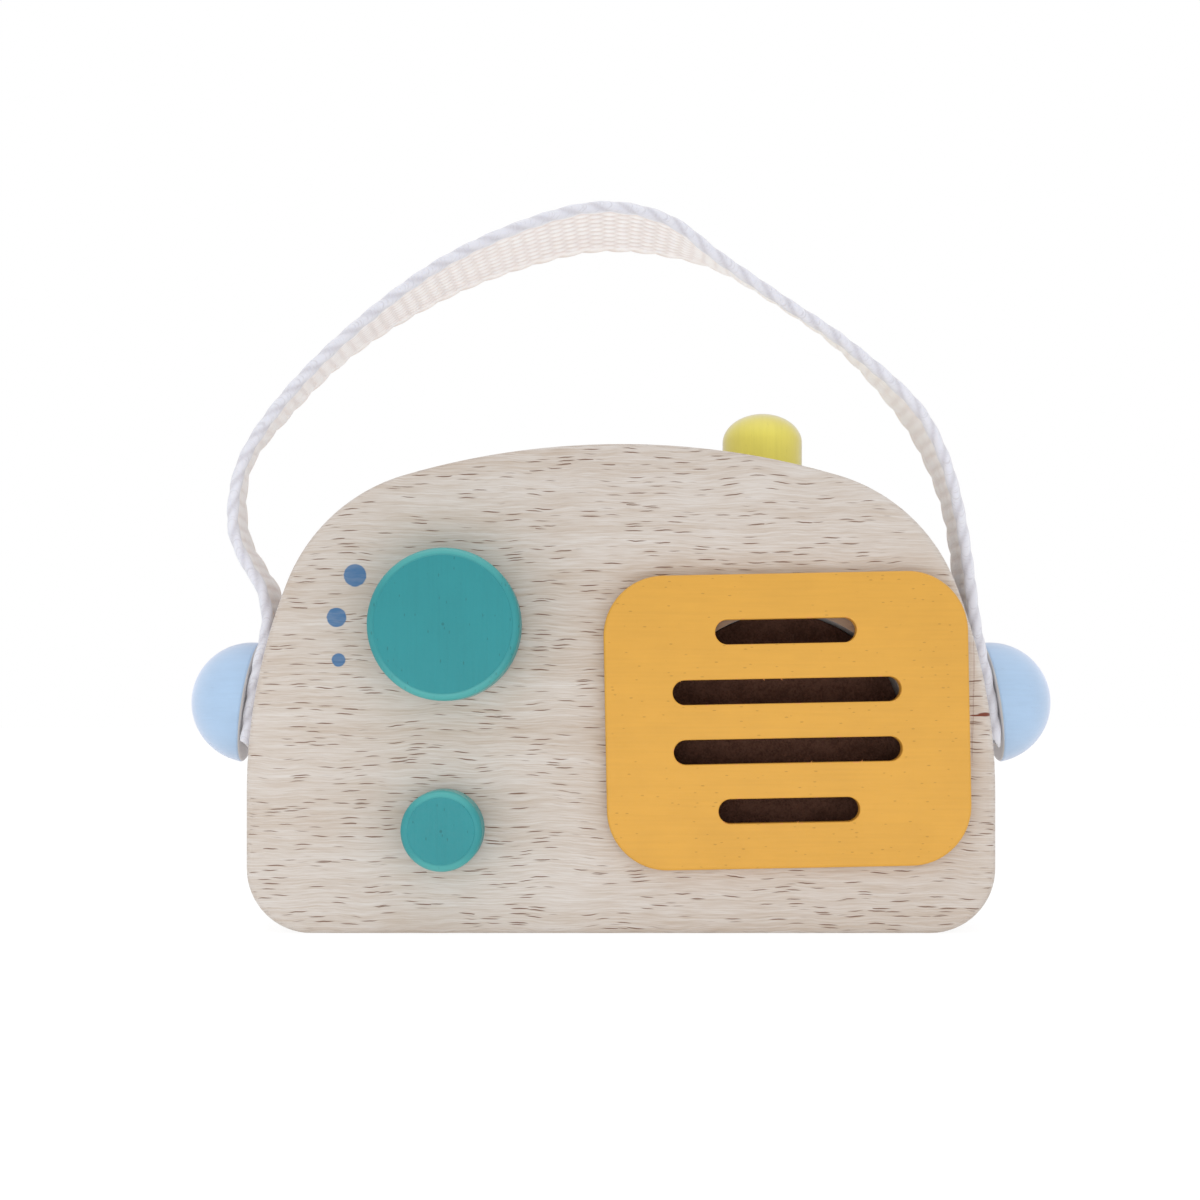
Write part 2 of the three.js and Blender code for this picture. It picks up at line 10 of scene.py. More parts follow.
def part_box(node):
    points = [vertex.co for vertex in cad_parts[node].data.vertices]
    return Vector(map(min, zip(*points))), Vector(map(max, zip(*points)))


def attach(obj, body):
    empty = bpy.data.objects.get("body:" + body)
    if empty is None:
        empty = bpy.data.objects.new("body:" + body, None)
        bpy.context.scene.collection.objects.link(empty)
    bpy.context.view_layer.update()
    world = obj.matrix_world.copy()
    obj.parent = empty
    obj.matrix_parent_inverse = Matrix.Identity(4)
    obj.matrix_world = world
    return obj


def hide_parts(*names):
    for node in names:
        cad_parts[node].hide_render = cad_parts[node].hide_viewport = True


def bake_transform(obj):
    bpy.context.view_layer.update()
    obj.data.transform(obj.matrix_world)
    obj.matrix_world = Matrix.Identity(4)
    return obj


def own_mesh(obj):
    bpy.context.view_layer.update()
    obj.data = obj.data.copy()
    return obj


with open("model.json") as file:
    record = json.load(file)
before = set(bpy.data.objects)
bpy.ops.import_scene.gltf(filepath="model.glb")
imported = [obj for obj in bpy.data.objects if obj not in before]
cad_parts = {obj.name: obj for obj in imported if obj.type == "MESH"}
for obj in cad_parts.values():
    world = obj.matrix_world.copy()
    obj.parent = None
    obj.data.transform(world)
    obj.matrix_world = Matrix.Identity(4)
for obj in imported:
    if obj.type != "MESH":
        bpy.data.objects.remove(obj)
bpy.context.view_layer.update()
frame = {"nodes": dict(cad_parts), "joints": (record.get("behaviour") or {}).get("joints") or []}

# The studio: a white sweep in soft light. A long soft box lies on the floor close in front of the radio, so
# that the knobs' shadows fall upwards, and a wide one hangs above. The camera stands square to the front.
scene = bpy.context.scene
scene.view_settings.view_transform = "Standard"
case_low, case_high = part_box("case_block")

CAMERA_DISTANCE = 0.420  # from the front of the block
CAMERA_HEIGHT = 0.0467
LENS_MM = 63.1
SENSOR_MM = 36.0
PHOTO_PIXELS = 1200
OPTICAL_AXIS = (621, 700)  # the pixel of the photograph that the camera looks straight at

lens = bpy.data.cameras.new("camera")
lens.lens = LENS_MM
lens.sensor_width = SENSOR_MM
lens.shift_x = 0.5 - OPTICAL_AXIS[0] / PHOTO_PIXELS
lens.shift_y = OPTICAL_AXIS[1] / PHOTO_PIXELS - 0.5
lens.clip_start = 0.01
camera = bpy.data.objects.new("camera", lens)
camera.location = (0, case_low.y - CAMERA_DISTANCE, CAMERA_HEIGHT)
camera.rotation_euler = (math.radians(90), 0, 0)
scene.collection.objects.link(camera)
scene.camera = camera


def add_node(tree, kind, inputs=None, **settings):
    made = tree.nodes.new(f"ShaderNode{kind}")
    for setting, value in settings.items():
        setattr(made, setting, value)
    for socket, value in (inputs or {}).items():
        if isinstance(value, bpy.types.NodeSocket):
            tree.links.new(value, made.inputs[socket])
        else:
            made.inputs[socket].default_value = value
    return made


def maths(tree, operation, first, second=0.0):
    return add_node(tree, "Math", {0: first, 1: second}, operation=operation).outputs[0]


def product(tree, first, second):
    return maths(tree, "MULTIPLY", first, second)


# Camera, mirror and glass rays, which see the white of the studio instead of its light
def seen_ray(tree):
    path = add_node(tree, "LightPath").outputs
    either = maths(tree, "MAXIMUM", path["Is Camera Ray"], path["Is Glossy Ray"])
    return maths(tree, "MAXIMUM", either, path["Is Transmission Ray"])


STUDIO_LIGHT = 0.84
world = bpy.data.worlds.new("studio")
world.use_nodes = True
sky = world.node_tree
sky.nodes.clear()
lit = add_node(sky, "Background", {"Color": (1, 1, 1, 1), "Strength": STUDIO_LIGHT})
white = add_node(sky, "Background", {"Color": (1, 1, 1, 1), "Strength": 1.0})
either = add_node(sky, "MixShader", {0: seen_ray(sky), 1: lit.outputs[0], 2: white.outputs[0]})
add_node(sky, "OutputWorld", {"Surface": either.outputs[0]})
scene.world = world

FLOOR_SIZE = 6.0
FLOOR_COLOUR = (0.93, 0.93, 0.93, 1)
FLOOR_WHITENING = 0.80  # share of plain white in the floor as it is seen, and the rest shows its shadow
FLOOR_GLOW = 1.1
FLOOR_LIT = 0.30  # share of the glow that lights the radio from below
sweep = bpy.data.materials.new("white_sweep")
sweep.use_nodes = True
tree = sweep.node_tree
tree.nodes.clear()
matt = add_node(tree, "BsdfDiffuse", {"Color": FLOOR_COLOUR})
glow = add_node(tree, "Emission", {"Color": (1, 1, 1, 1), "Strength": FLOOR_GLOW})
share = maths(tree, "MAXIMUM", product(tree, seen_ray(tree), FLOOR_WHITENING), FLOOR_LIT)
surface = add_node(tree, "MixShader", {0: share, 1: matt.outputs[0], 2: glow.outputs[0]})
add_node(tree, "OutputMaterial", {"Surface": surface.outputs[0]})

CREASE = 35  # degrees past which an edge is shaded sharp
DOUBLE = 1e-7  # distance under which two vertices are one


def shade(mesh, crease):
    mesh.shade_smooth()
    mesh.set_sharp_from_angle(angle=math.radians(crease))


def piece_from(bm, name, finish, crease=CREASE):
    bmesh.ops.remove_doubles(bm, verts=bm.verts, dist=DOUBLE)
    bmesh.ops.recalc_face_normals(bm, faces=bm.faces)
    mesh = bpy.data.meshes.new(name)
    bm.to_mesh(mesh)
    bm.free()
    shade(mesh, crease)
    if finish:
        mesh.materials.append(finish)
    piece = bpy.data.objects.new(name, mesh)
    scene.collection.objects.link(piece)
    return piece


bm = bmesh.new()
bmesh.ops.create_grid(bm, x_segments=1, y_segments=1, size=FLOOR_SIZE / 2)
floor = piece_from(bm, "floor", sweep)

RADIO_MIDDLE = Vector((0, 0, 0.06))


# A soft box that is aimed at the radio
def soft_box(name, place, size, watts):
    light = bpy.data.lights.new(name, "AREA")
    light.shape = "RECTANGLE"
    light.size, light.size_y = size
    light.energy = watts
    lamp = bpy.data.objects.new(name, light)
    lamp.location = place
    lamp.rotation_euler = (RADIO_MIDDLE - Vector(place)).to_track_quat("-Z", "Y").to_euler()
    lamp.visible_camera = False
    scene.collection.objects.link(lamp)


soft_box("low_box", place=(-0.01, -0.125, 0.006), size=(0.38, 0.07), watts=0.115)
soft_box("top_box", place=(-0.02, -0.08, 0.75), size=(0.70, 0.50), watts=1.3)

# The case: one block of pale beech with its grain from side to side. It is sawn to an arch, its edges are
# rounded over and sanded, and it is bored for the speaker, the spindles, the button and the dowels.
CROWN_RADIUS = 0.155
SHOULDER_RADIUS = 0.036
SIDE_RADIUS = 0.115
SIDE_START = 0.028  # height at which the upright side begins to lean in
FOOT_RADIUS = 0.013
CASE_EDGE_ROUND = 0.0015
CASE_EDGE_STEPS = 6
RECESS_RADIUS = 0.025
RECESS_DEPTH = 0.010
COUNTERBORE_DEPTH = 0.010
GLUED_FIT = 0.00015
RUNNING_FIT = 0.00025
SEAT_GAP = 0.0003
OVERSHOOT = 0.002  # by which a drill passes the surface that it opens
BORE_SIDES = 72
SAME_PLACE = 1e-6


def line_to(bm, vertex, place):
    end = bm.verts.new(place)
    bm.edges.new((vertex, end))
    return end


# Carries a vertex round an arc in the XZ plane, from +X towards +Z for a positive angle
def arc_on(bm, vertex, centre, angle, steps):
    swept = math.radians(angle)
    made = bmesh.ops.spin(bm, geom=[vertex], cent=centre, axis=(0, -1, 0), angle=swept, steps=steps)
    return next(part for part in made["geom_last"] if isinstance(part, bmesh.types.BMVert))


# Draws an open profile: a place is reached by a line, and a centre, an angle in degrees and steps by an arc
def profile(start, *moves):
    bm = bmesh.new()
    end = bm.verts.new(start)
    for move in moves:
        end = arc_on(bm, end, *move) if isinstance(move[0], tuple) else line_to(bm, end, move)
    return bm


def join_frame(piece, body, slot, *nodes):
    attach(piece, body)
    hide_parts(*nodes)


# Extrudes the flat faces of a bmesh into a board
def thicken(bm, by):
    made = bmesh.ops.extrude_face_region(bm, geom=bm.faces[:])
    moved = [part for part in made["geom"] if isinstance(part, bmesh.types.BMVert)]
    bmesh.ops.translate(bm, verts=moved, vec=by)


# The edges of a board or rod that run round its front and its back
def rims_of(bm):
    return [edge for edge in bm.edges if abs(edge.verts[0].co.y - edge.verts[1].co.y) < SAME_PLACE]


def round_off(bm, parts, radius, steps, kind="EDGES"):
    return bmesh.ops.bevel(
        bm, geom=parts, offset=radius, segments=steps, profile=0.5, affect=kind, material=-1
    )


# The turn that brings +Z to a way
def pointed(way):
    return way.to_track_quat("Z", "Y").to_matrix().to_4x4()


# A rod along the Z of its place, or a cone where its tip has a radius of its own
def add_rod(bm, radius, length, sides, place, tip=None):
    return bmesh.ops.create_cone(
        bm,
        cap_ends=True,
        segments=sides,
        radius1=radius,
        radius2=radius if tip is None else tip,
        depth=length,
        matrix=place,
    )


def drill(start, end, radius):
    start, end = Vector(start), Vector(end)
    along = end - start
    bm = bmesh.new()
    add_rod(bm, radius, along.length, BORE_SIDES, Matrix.Translation((start + end) / 2) @ pointed(along))
    return piece_from(bm, "drill", None)


# A drill square to the front, from one depth to another
def drill_in(place, start, end, radius):
    return drill((place.x, start, place.z), (place.x, end, place.z), radius)


# Cuts every tool out of a piece, and then puts the tools away
def bore(piece, tools, crease=CREASE):
    for tool in tools:
        cut = piece.modifiers.new("bore", "BOOLEAN")
        cut.operation = "DIFFERENCE"
        cut.solver = "EXACT"
        cut.object = tool
    bored = piece.evaluated_get(bpy.context.evaluated_depsgraph_get())
    solid = piece.data
    piece.data = bpy.data.meshes.new_from_object(bored)
    piece.modifiers.clear()
    bpy.data.meshes.remove(solid)
    for tool in tools:
        bpy.data.meshes.remove(tool.data)
    shade(piece.data, crease)


# Keeps the flat faces of a piece evenly lit beside its rounded edges
def even_shading(piece):
    even = piece.modifiers.new("even_shading", "WEIGHTED_NORMAL")
    even.keep_sharp = True


case_half, case_top = case_high.x, case_high.z
front, back = case_low.y, case_high.y
crown = Vector((0, case_top - CROWN_RADIUS))
side = Vector((case_half - SIDE_RADIUS, SIDE_START))
shoulder = max(
    intersect_sphere_sphere_2d(crown, CROWN_RADIUS - SHOULDER_RADIUS, side, SIDE_RADIUS - SHOULDER_RADIUS),
    key=lambda place: place.x,
)
crown_angle = math.degrees(math.atan2(shoulder.y - crown.y, shoulder.x - crown.x))
side_angle = math.degrees(math.atan2(shoulder.y - side.y, shoulder.x - side.x))

bm = profile(
    (0, front, 0),
    (case_half - FOOT_RADIUS, front, 0),
    ((case_half - FOOT_RADIUS, front, FOOT_RADIUS), 90, 16),
    (case_half, front, SIDE_START),
    ((side.x, front, side.y), side_angle, 14),
    ((shoulder.x, front, shoulder.y), crown_angle - side_angle, 22),
    ((crown.x, front, crown.y), 90 - crown_angle, 14),
)
bmesh.ops.mirror(bm, geom=bm.verts[:] + bm.edges[:], matrix=Matrix(), merge_dist=SAME_PLACE, axis="X")
bmesh.ops.edgeloop_fill(bm, edges=bm.edges[:])
thicken(bm, (0, back - front, 0))
round_off(bm, rims_of(bm), CASE_EDGE_ROUND, CASE_EDGE_STEPS)


def middle_of(node):
    low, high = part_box(node)
    return (low + high) / 2


def radius_of(node):
    low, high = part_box(node)
    return (high.x - low.x) / 2


def bores_for_knob(name):
    place = middle_of(f"{name}_knob")
    spindle = radius_of(f"{name}_spindle") + RUNNING_FIT
    plug = radius_of(f"{name}_plug") + GLUED_FIT
    return [
        drill_in(place, front - OVERSHOOT, back, spindle),
        drill_in(place, back - COUNTERBORE_DEPTH, back + OVERSHOOT, plug),
    ]


CAP_HEIGHT = 0.0457
CAP_DOWEL_IN_CASE = 0.014
CAP_DOWEL_RADIUS = 0.004
cap_lean = math.asin((CAP_HEIGHT - SIDE_START) / SIDE_RADIUS)
cap_foot = Vector((side.x + SIDE_RADIUS * math.cos(cap_lean), 0, CAP_HEIGHT))
cap_axis = Vector((math.cos(cap_lean), 0, math.sin(cap_lean)))
dowel_hole = CAP_DOWEL_RADIUS + GLUED_FIT
SIDES = {"right": Matrix(), "left": Matrix.Scale(-1, 4, (1, 0, 0))}


# Drills for the dowels of both caps, from one distance out from the block's side to another
def drills_for_cap_dowels(start, end):
    inner, outer = cap_foot + cap_axis * start, cap_foot + cap_axis * end
    return [drill(mirror @ inner, mirror @ outer, dowel_hole) for mirror in SIDES.values()]


speaker_place = middle_of("speaker_felt")
button_low, button_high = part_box("button")
button_place = middle_of("button")
spring_low, spring_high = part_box("button_spring")
pin_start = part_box("button_retaining_dowel")[0].y - SEAT_GAP
pin_place = middle_of("button_retaining_dowel")
pin_radius = radius_of("button_retaining_dowel")
button_radius = radius_of("button")
bore_floor = (button_place.x, 0, spring_low.z - SEAT_GAP)
bore_mouth = (button_place.x, 0, case_top + OVERSHOOT)
tools = [
    drill_in(speaker_place, front - OVERSHOOT, front + RECESS_DEPTH, RECESS_RADIUS),
    *bores_for_knob("tuning"),
    *bores_for_knob("volume"),
    drill(bore_floor, bore_mouth, button_radius + RUNNING_FIT),
    drill_in(pin_place, pin_start, back + OVERSHOOT, pin_radius + GLUED_FIT),
    *drills_for_cap_dowels(-CAP_DOWEL_IN_CASE, OVERSHOOT),
]


def colour(red, green, blue):
    return (*Color((red / 255, green / 255, blue / 255)).from_srgb_to_scene_linear(), 1.0)


def mixed(tree, share, first, second):
    inputs = {"Factor": share, 6: first, 7: second}
    return add_node(tree, "Mix", inputs, data_type="RGBA").outputs[2]


# Brings a value from one range to another, with soft ends
def eased(tree, value, low, high, to_low=0.0, to_high=1.0):
    inputs = {"Value": value, "From Min": low, "From Max": high, "To Min": to_low, "To Max": to_high}
    return add_node(tree, "MapRange", inputs, interpolation_type="SMOOTHSTEP").outputs[0]


def vector_maths(tree, operation, *values):
    return add_node(tree, "VectorMath", dict(enumerate(values)), operation=operation).outputs


# The sum of two values, each times its own weight
def weighted(tree, first, first_weight, second, second_weight):
    return maths(tree, "ADD", product(tree, first, first_weight), product(tree, second, second_weight))


def object_place(tree):
    return add_node(tree, "TexCoord").outputs["Object"]


def mapped(tree, place, inputs, kind="POINT"):
    return add_node(tree, "Mapping", {"Vector": place, **inputs}, vector_type=kind).outputs[0]


# Coordinates counted in cells of a given size, so that a pattern can be long one way and narrow another
def in_cells(tree, place, cell):
    return mapped(tree, place, {"Scale": [1 / size for size in cell]})


def noise_at(tree, place, scale, detail):
    return add_node(tree, "TexNoise", {"Vector": place, "Scale": scale, "Detail": detail}).outputs


def noise_in_cells(tree, place, cell, detail):
    inputs = {"Vector": in_cells(tree, place, cell), "Scale": 1.0, "Detail": detail, "Roughness": 0.6}
    return add_node(tree, "TexNoise", inputs).outputs["Fac"]


# A group that makes a finish: it puts out a colour, a roughness and the height of its relief
def new_group(name, inputs):
    group = bpy.data.node_groups.new(name, "ShaderNodeTree")
    for label, kind in inputs.items():
        group.interface.new_socket(label, in_out="INPUT", socket_type=f"NodeSocket{kind}")
    for label, kind in {"Color": "Color", "Roughness": "Float", "Height": "Float"}.items():
        group.interface.new_socket(label, in_out="OUTPUT", socket_type=f"NodeSocket{kind}")
    return group, group.nodes.new("NodeGroupInput").outputs, group.nodes.new("NodeGroupOutput").inputs


# Lens-shaped marks, at most one in a cell, some strong and some barely there. The reach of the largest is
# given as a share of the cell along each axis.
def flecks(tree, place, cell, reach):
    spot = in_cells(tree, place, cell)
    cells = add_node(tree, "TexVoronoi", {"Vector": spot, "Scale": 1.0, "Randomness": 0.8})
    chance = add_node(tree, "SeparateColor", {"Color": cells.outputs["Color"]}).outputs
    offset = vector_maths(tree, "SUBTRACT", spot, cells.outputs["Position"])[0]
    distance = vector_maths(tree, "LENGTH", vector_maths(tree, "DIVIDE", offset, reach)[0])["Value"]
    size = eased(tree, chance["Red"], 0.0, 1.0, 0.7, 1.0)
    mark = eased(tree, distance, size, product(tree, size, 0.5))
    strength = eased(tree, chance["Green"], 0.1, 0.8, 0.2, 1.0)
    return product(tree, mark, strength)


# Beech with its grain along X: broad bands of tone, fine streaks, and the short dark rays. These are thin
# level plates in the wood, which show as dashes on the front and the back, and as broader flakes on the top.
def beech_group():
    inputs = {"Place": "Vector", "Pale": "Color", "Deep": "Color", "Ray": "Color"}
    group, given, wanted = new_group("beech_grain", inputs)
    wavy = given["Place"]
    for scale, rise in ((75.0, 0.0022), (420.0, 0.00035)):
        drift = noise_at(group, given["Place"], scale, 1.0)["Color"]
        wavy = vector_maths(group, "MULTIPLY_ADD", drift, (0.0, 0.0, rise), wavy)[0]
    bands = noise_in_cells(group, wavy, (0.16, 0.05, 0.012), 2.0)
    streaks = noise_in_cells(group, wavy, (0.030, 0.008, 0.0012), 3.0)
    fibres = noise_in_cells(group, wavy, (0.008, 0.002, 0.00030), 2.0)
    tone = eased(group, bands, 0.35, 0.65, 0.0, 0.28)
    tone = maths(group, "ADD", tone, eased(group, streaks, 0.3, 0.7, 0.0, 0.30))
    tone = maths(group, "ADD", tone, eased(group, fibres, 0.3, 0.7, 0.0, 0.50))
    rays = flecks(group, wavy, (0.0048, 0.0022, 0.00062), (0.54, 0.36, 0.25))
    fainter = flecks(group, wavy, (0.0038, 0.0018, 0.00055), (0.46, 0.34, 0.21))
    rays = maths(group, "MAXIMUM", rays, product(group, fainter, 0.5))
    wood = mixed(group, tone, given["Pale"], given["Deep"])
    group.links.new(mixed(group, rays, wood, given["Ray"]), wanted["Color"])
    group.links.new(eased(group, fibres, 0.2, 0.8, 0.52, 0.70), wanted["Roughness"])
    group.links.new(weighted(group, fibres, 0.5, rays, -0.6), wanted["Height"])
    return group


BEECH_PALE = colour(213, 207, 202)
BEECH_DEEP = colour(188, 173, 159)
BEECH_RAY = colour(126, 99, 83)
BEECH_BUMP = 0.00008
beech_grain = beech_group()


# A material with the given plain values, its nodes and the inputs of its surface
def new_material(name, plain):
    made = bpy.data.materials.new(name)
    made.use_nodes = True
    surface = made.node_tree.nodes["Principled BSDF"].inputs
    for socket, value in plain.items():
        surface[socket].default_value = value
    return made, made.node_tree, surface


# The nodes of a finished material, the inputs of its surface, and the colour that it has so far
def reopened(made):
    surface = made.node_tree.nodes["Principled BSDF"].inputs
    return made.node_tree, surface, surface["Base Color"].links[0].from_socket


# Joins a colour, a roughness and a relief of some depth to a surface
def finish_surface(tree, surface, look, rough, height, depth):
    relief = add_node(tree, "Bump", {"Height": height, "Distance": depth, "Strength": 1.0})
    tree.links.new(look, surface["Base Color"])
    tree.links.new(rough, surface["Roughness"])
    tree.links.new(relief.outputs[0], surface["Normal"])


# Places a group in a material, and joins what it puts out to the surface
def lay_on(tree, surface, group, inputs, depth):
    coat = add_node(tree, "Group", inputs, node_tree=group).outputs
    finish_surface(tree, surface, coat["Color"], coat["Roughness"], coat["Height"], depth)


# Raw beech, with its grain turned by the given angles. The sheen is the fine nap that sanding leaves.
def beech(name, turn=(0, 0, 0)):
    plain = {"Specular IOR Level": 0.3, "Sheen Weight": 0.35, "Sheen Roughness": 0.4}
    made, tree, surface = new_material(name, plain)
    place = mapped(tree, object_place(tree), {"Rotation": turn})
    inputs = {"Place": place, "Pale": BEECH_PALE, "Deep": BEECH_DEEP, "Ray": BEECH_RAY}
    lay_on(tree, surface, beech_grain, inputs, BEECH_BUMP)
    return made


# The painted dots beside the large knob, from the top one down: place across, height and diameter
DOTS = [(-0.0531, 0.0716, 0.0045), (-0.0568, 0.0632, 0.0039), (-0.0564, 0.0547, 0.0027)]
FRONT_DEPTH = 0.002  # to which the marks on the front go into the wood
DOT_BLUE = colour(60, 108, 153)
DOT_EDGE = 0.00012
DOT_BLEED = 0.0003  # how far the paint creeps along the grain
RED_RAY = colour(116, 58, 42)

# Reddish marks to the right of the plate: a dark ray of the wood, and the faint line to which the plate was
# set. Each has its place across and its height, how far it reaches both ways, and its strength.
RED_MARKS = [
    ((0.0727, 0.0438), (0.0017, 0.00048), 1.0),
    ((0.0712, 0.0436), (0.0020, 0.00022), 1.0),
    ((0.0705, 0.0540), (0.00011, 0.0068), 0.4),
    ((0.07035, 0.0455), (0.00011, 0.0062), 0.4),
    ((0.07010, 0.0385), (0.00011, 0.0055), 0.4),
]
# Painted shade: the wall of the speaker recess is coloured dark brown
RECESS_WALL_SHADE = colour(62, 41, 33)
RECESS_SHADE_EDGE = 0.0002
# Painted shade: the wood under the plate, which shows only through the slots, is darkened
UNDER_PLATE_SHADE = colour(142, 122, 106)
UNDER_PLATE_SHADE_REACH = 0.027  # of the painted shade on the wood under the plate, from the plate's middle


# How far a point of the front lies from a place on it, in metres or counted in the given reaches
def distance_on_front(tree, middle, reach=(1.0, 1.0)):
    moved = (-middle[0] / reach[0], 0, -middle[1] / reach[1])
    inputs = {"Location": moved, "Scale": (1 / reach[0], 0, 1 / reach[1])}
    centred = mapped(tree, object_place(tree), inputs)
    return vector_maths(tree, "LENGTH", centred)["Value"]


def add_front_paint(made):
    tree, surface, wood = reopened(made)
    place = object_place(tree)
    depth = add_node(tree, "SeparateXYZ", {0: place}).outputs["Y"]
    on_front = eased(tree, depth, front + 2 * FRONT_DEPTH, front + FRONT_DEPTH)
    creep = noise_in_cells(tree, place, (0.006, 0.006, 0.0005), 2.0)
    tint = noise_in_cells(tree, place, (0.004, 0.004, 0.0006), 2.0)
    blue = mixed(tree, eased(tree, tint, 0.3, 0.7, 0.0, 0.10), DOT_BLUE, BEECH_PALE)
    blue = mixed(tree, 0.97, wood, blue)
    look = wood
    for middle, reach, strength in RED_MARKS:
        distance = distance_on_front(tree, middle, reach)
        ragged = maths(tree, "ADD", distance, product(tree, creep, 0.8))
        red = product(tree, eased(tree, ragged, 1.45, 1.0, 0.0, strength), on_front)
        look = mixed(tree, red, look, RED_RAY)
    for across, up, diameter in DOTS:
        distance = distance_on_front(tree, (across, up))
        bleed = product(tree, maths(tree, "SUBTRACT", creep, 0.5), DOT_BLEED)
        ragged = maths(tree, "ADD", distance, bleed)
        dot = eased(tree, ragged, diameter / 2 + DOT_EDGE, diameter / 2 - DOT_EDGE)
        look = mixed(tree, product(tree, dot, on_front), look, blue)
    from_speaker = distance_on_front(tree, speaker_place.xz, (RECESS_RADIUS, RECESS_RADIUS))
    from_plate = distance_on_front(tree, middle_of("speaker_grille").xz, (UNDER_PLATE_SHADE_REACH, UNDER_PLATE_SHADE_REACH))
    # Painted shade on the wood under the plate, where it shows through the slots
    plate_shade = product(tree, eased(tree, from_plate, 1.0, 0.97), on_front)
    look = mixed(tree, plate_shade, look, UNDER_PLATE_SHADE)
    # Painted shade on the wall of the speaker recess, between the front and the recess floor
    below_front = eased(tree, depth, front + RECESS_SHADE_EDGE, front + 2 * RECESS_SHADE_EDGE)
    recess_floor = front + RECESS_DEPTH + RECESS_SHADE_EDGE
    in_recess = product(tree, below_front, eased(tree, depth, recess_floor + RECESS_SHADE_EDGE, recess_floor))
    recess_shade = product(tree, eased(tree, from_speaker, 1.03, 1.02), in_recess)
    tree.links.new(mixed(tree, recess_shade, look, RECESS_WALL_SHADE), surface["Base Color"])


case_beech = beech("case_beech")
add_front_paint(case_beech)
case = piece_from(bm, "case", case_beech)
bore(case, tools)
even_shading(case)
join_frame(case, "case", "beech", "case_block")

# The speaker: a disc of dark brown felt glued on the floor of the round recess, which is all that shows
# through the plate's slots. It keeps its frame shape and gets its nap here.
FELT_DARK = colour(80, 54, 44)
FELT_LIGHT = colour(104, 74, 62)
FELT_BUMP = 0.0003


def felt():
    made, tree, surface = new_material("brown_felt", {"Specular IOR Level": 0.1})
    place = object_place(tree)
    nap = noise_at(tree, place, 2600.0, 4.0)["Fac"]
    clumps = noise_at(tree, place, 350.0, 2.0)["Fac"]
    mottle = weighted(tree, nap, 0.6, clumps, 0.4)
    brown = mixed(tree, eased(tree, mottle, 0.35, 0.65), FELT_DARK, FELT_LIGHT)
    finish_surface(tree, surface, brown, eased(tree, nap, 0.2, 0.8, 0.88, 1.0), nap, FELT_BUMP)
    return made


# Gives its finish to a node that keeps its frame shape
def dress(node, finish):
    for place in frame["nodes"][node].material_slots:
        place.material = finish


dress("speaker_felt", felt())

# The speaker plate: thin plywood painted mustard, with four round-ended slots milled through it. It is glued
# over the recess about a degree out of square, and the paint has chipped here and there along the slots.
PLATE_WIDTH = 0.0723
PLATE_HEIGHT = 0.0585
PLATE_CORNER = 0.012
PLATE_EDGE_ROUND = 0.0006
PLATE_TILT = math.radians(1.1)
SLOT_WIDTH = 0.0049
SLOT_PITCH = 0.01185
SLOT_LENGTHS = (0.028, 0.0453, 0.0453, 0.028)
SLOT_LIP = 0.00028  # rounding of a slot's edge at the face
SPLINTER_LENGTH = 0.0009
SPLINTER_RADIUS = 0.00022
SPLINTER_SIDES = 6
SPLINTER_LEAN = 0.6  # along the slot, for each step across it
MUSTARD = colour(215, 160, 62)
CHIPPED = colour(214, 146, 84)

# Torn splinters: place along the slot, the slot counted from the lowest, and its upper or lower edge
SPLINTERS = [
    (-0.0212, 2, 1),
    (-0.0046, 2, 1),
    (-0.0011, 2, 1),
    (0.0045, 1, -1),
    (0.0145, 1, -1),
    (0.0016, 0, -1),
]

plate_low, plate_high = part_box("speaker_grille")
plate_middle = middle_of("speaker_grille")
plate_place = Matrix.Translation((plate_middle.x, 0, plate_middle.z)) @ Matrix.Rotation(-PLATE_TILT, 4, "Y")
TO_FRONT = Matrix.Rotation(math.radians(90), 4, "X")  # turns a piece's +Z to the radio's front


# A board that faces the front, with round corners and its middle at the given height
def rounded_board(width, height, corner, steps, near, far, rise=0.0):
    bm = bmesh.new()
    bmesh.ops.create_grid(bm, x_segments=1, y_segments=1, size=0.5)
    bmesh.ops.scale(bm, verts=bm.verts, vec=(width, height, 1))
    round_off(bm, bm.verts[:], corner, steps, "VERTICES")
    bm.transform(Matrix.Translation((0, near, rise)) @ TO_FRONT)
    thicken(bm, (0, far - near, 0))
    return bm


def slot_rise(index):
    return (index - (len(SLOT_LENGTHS) - 1) / 2) * SLOT_PITCH


def slot_cutters():
    near, far = plate_low.y - OVERSHOOT, plate_high.y + OVERSHOOT
    for index, length in enumerate(SLOT_LENGTHS):
        half = SLOT_WIDTH / 2 - SAME_PLACE
        bm = rounded_board(length, SLOT_WIDTH, half, 16, near, far, slot_rise(index))
        yield piece_from(bm, "slot_cutter", None)


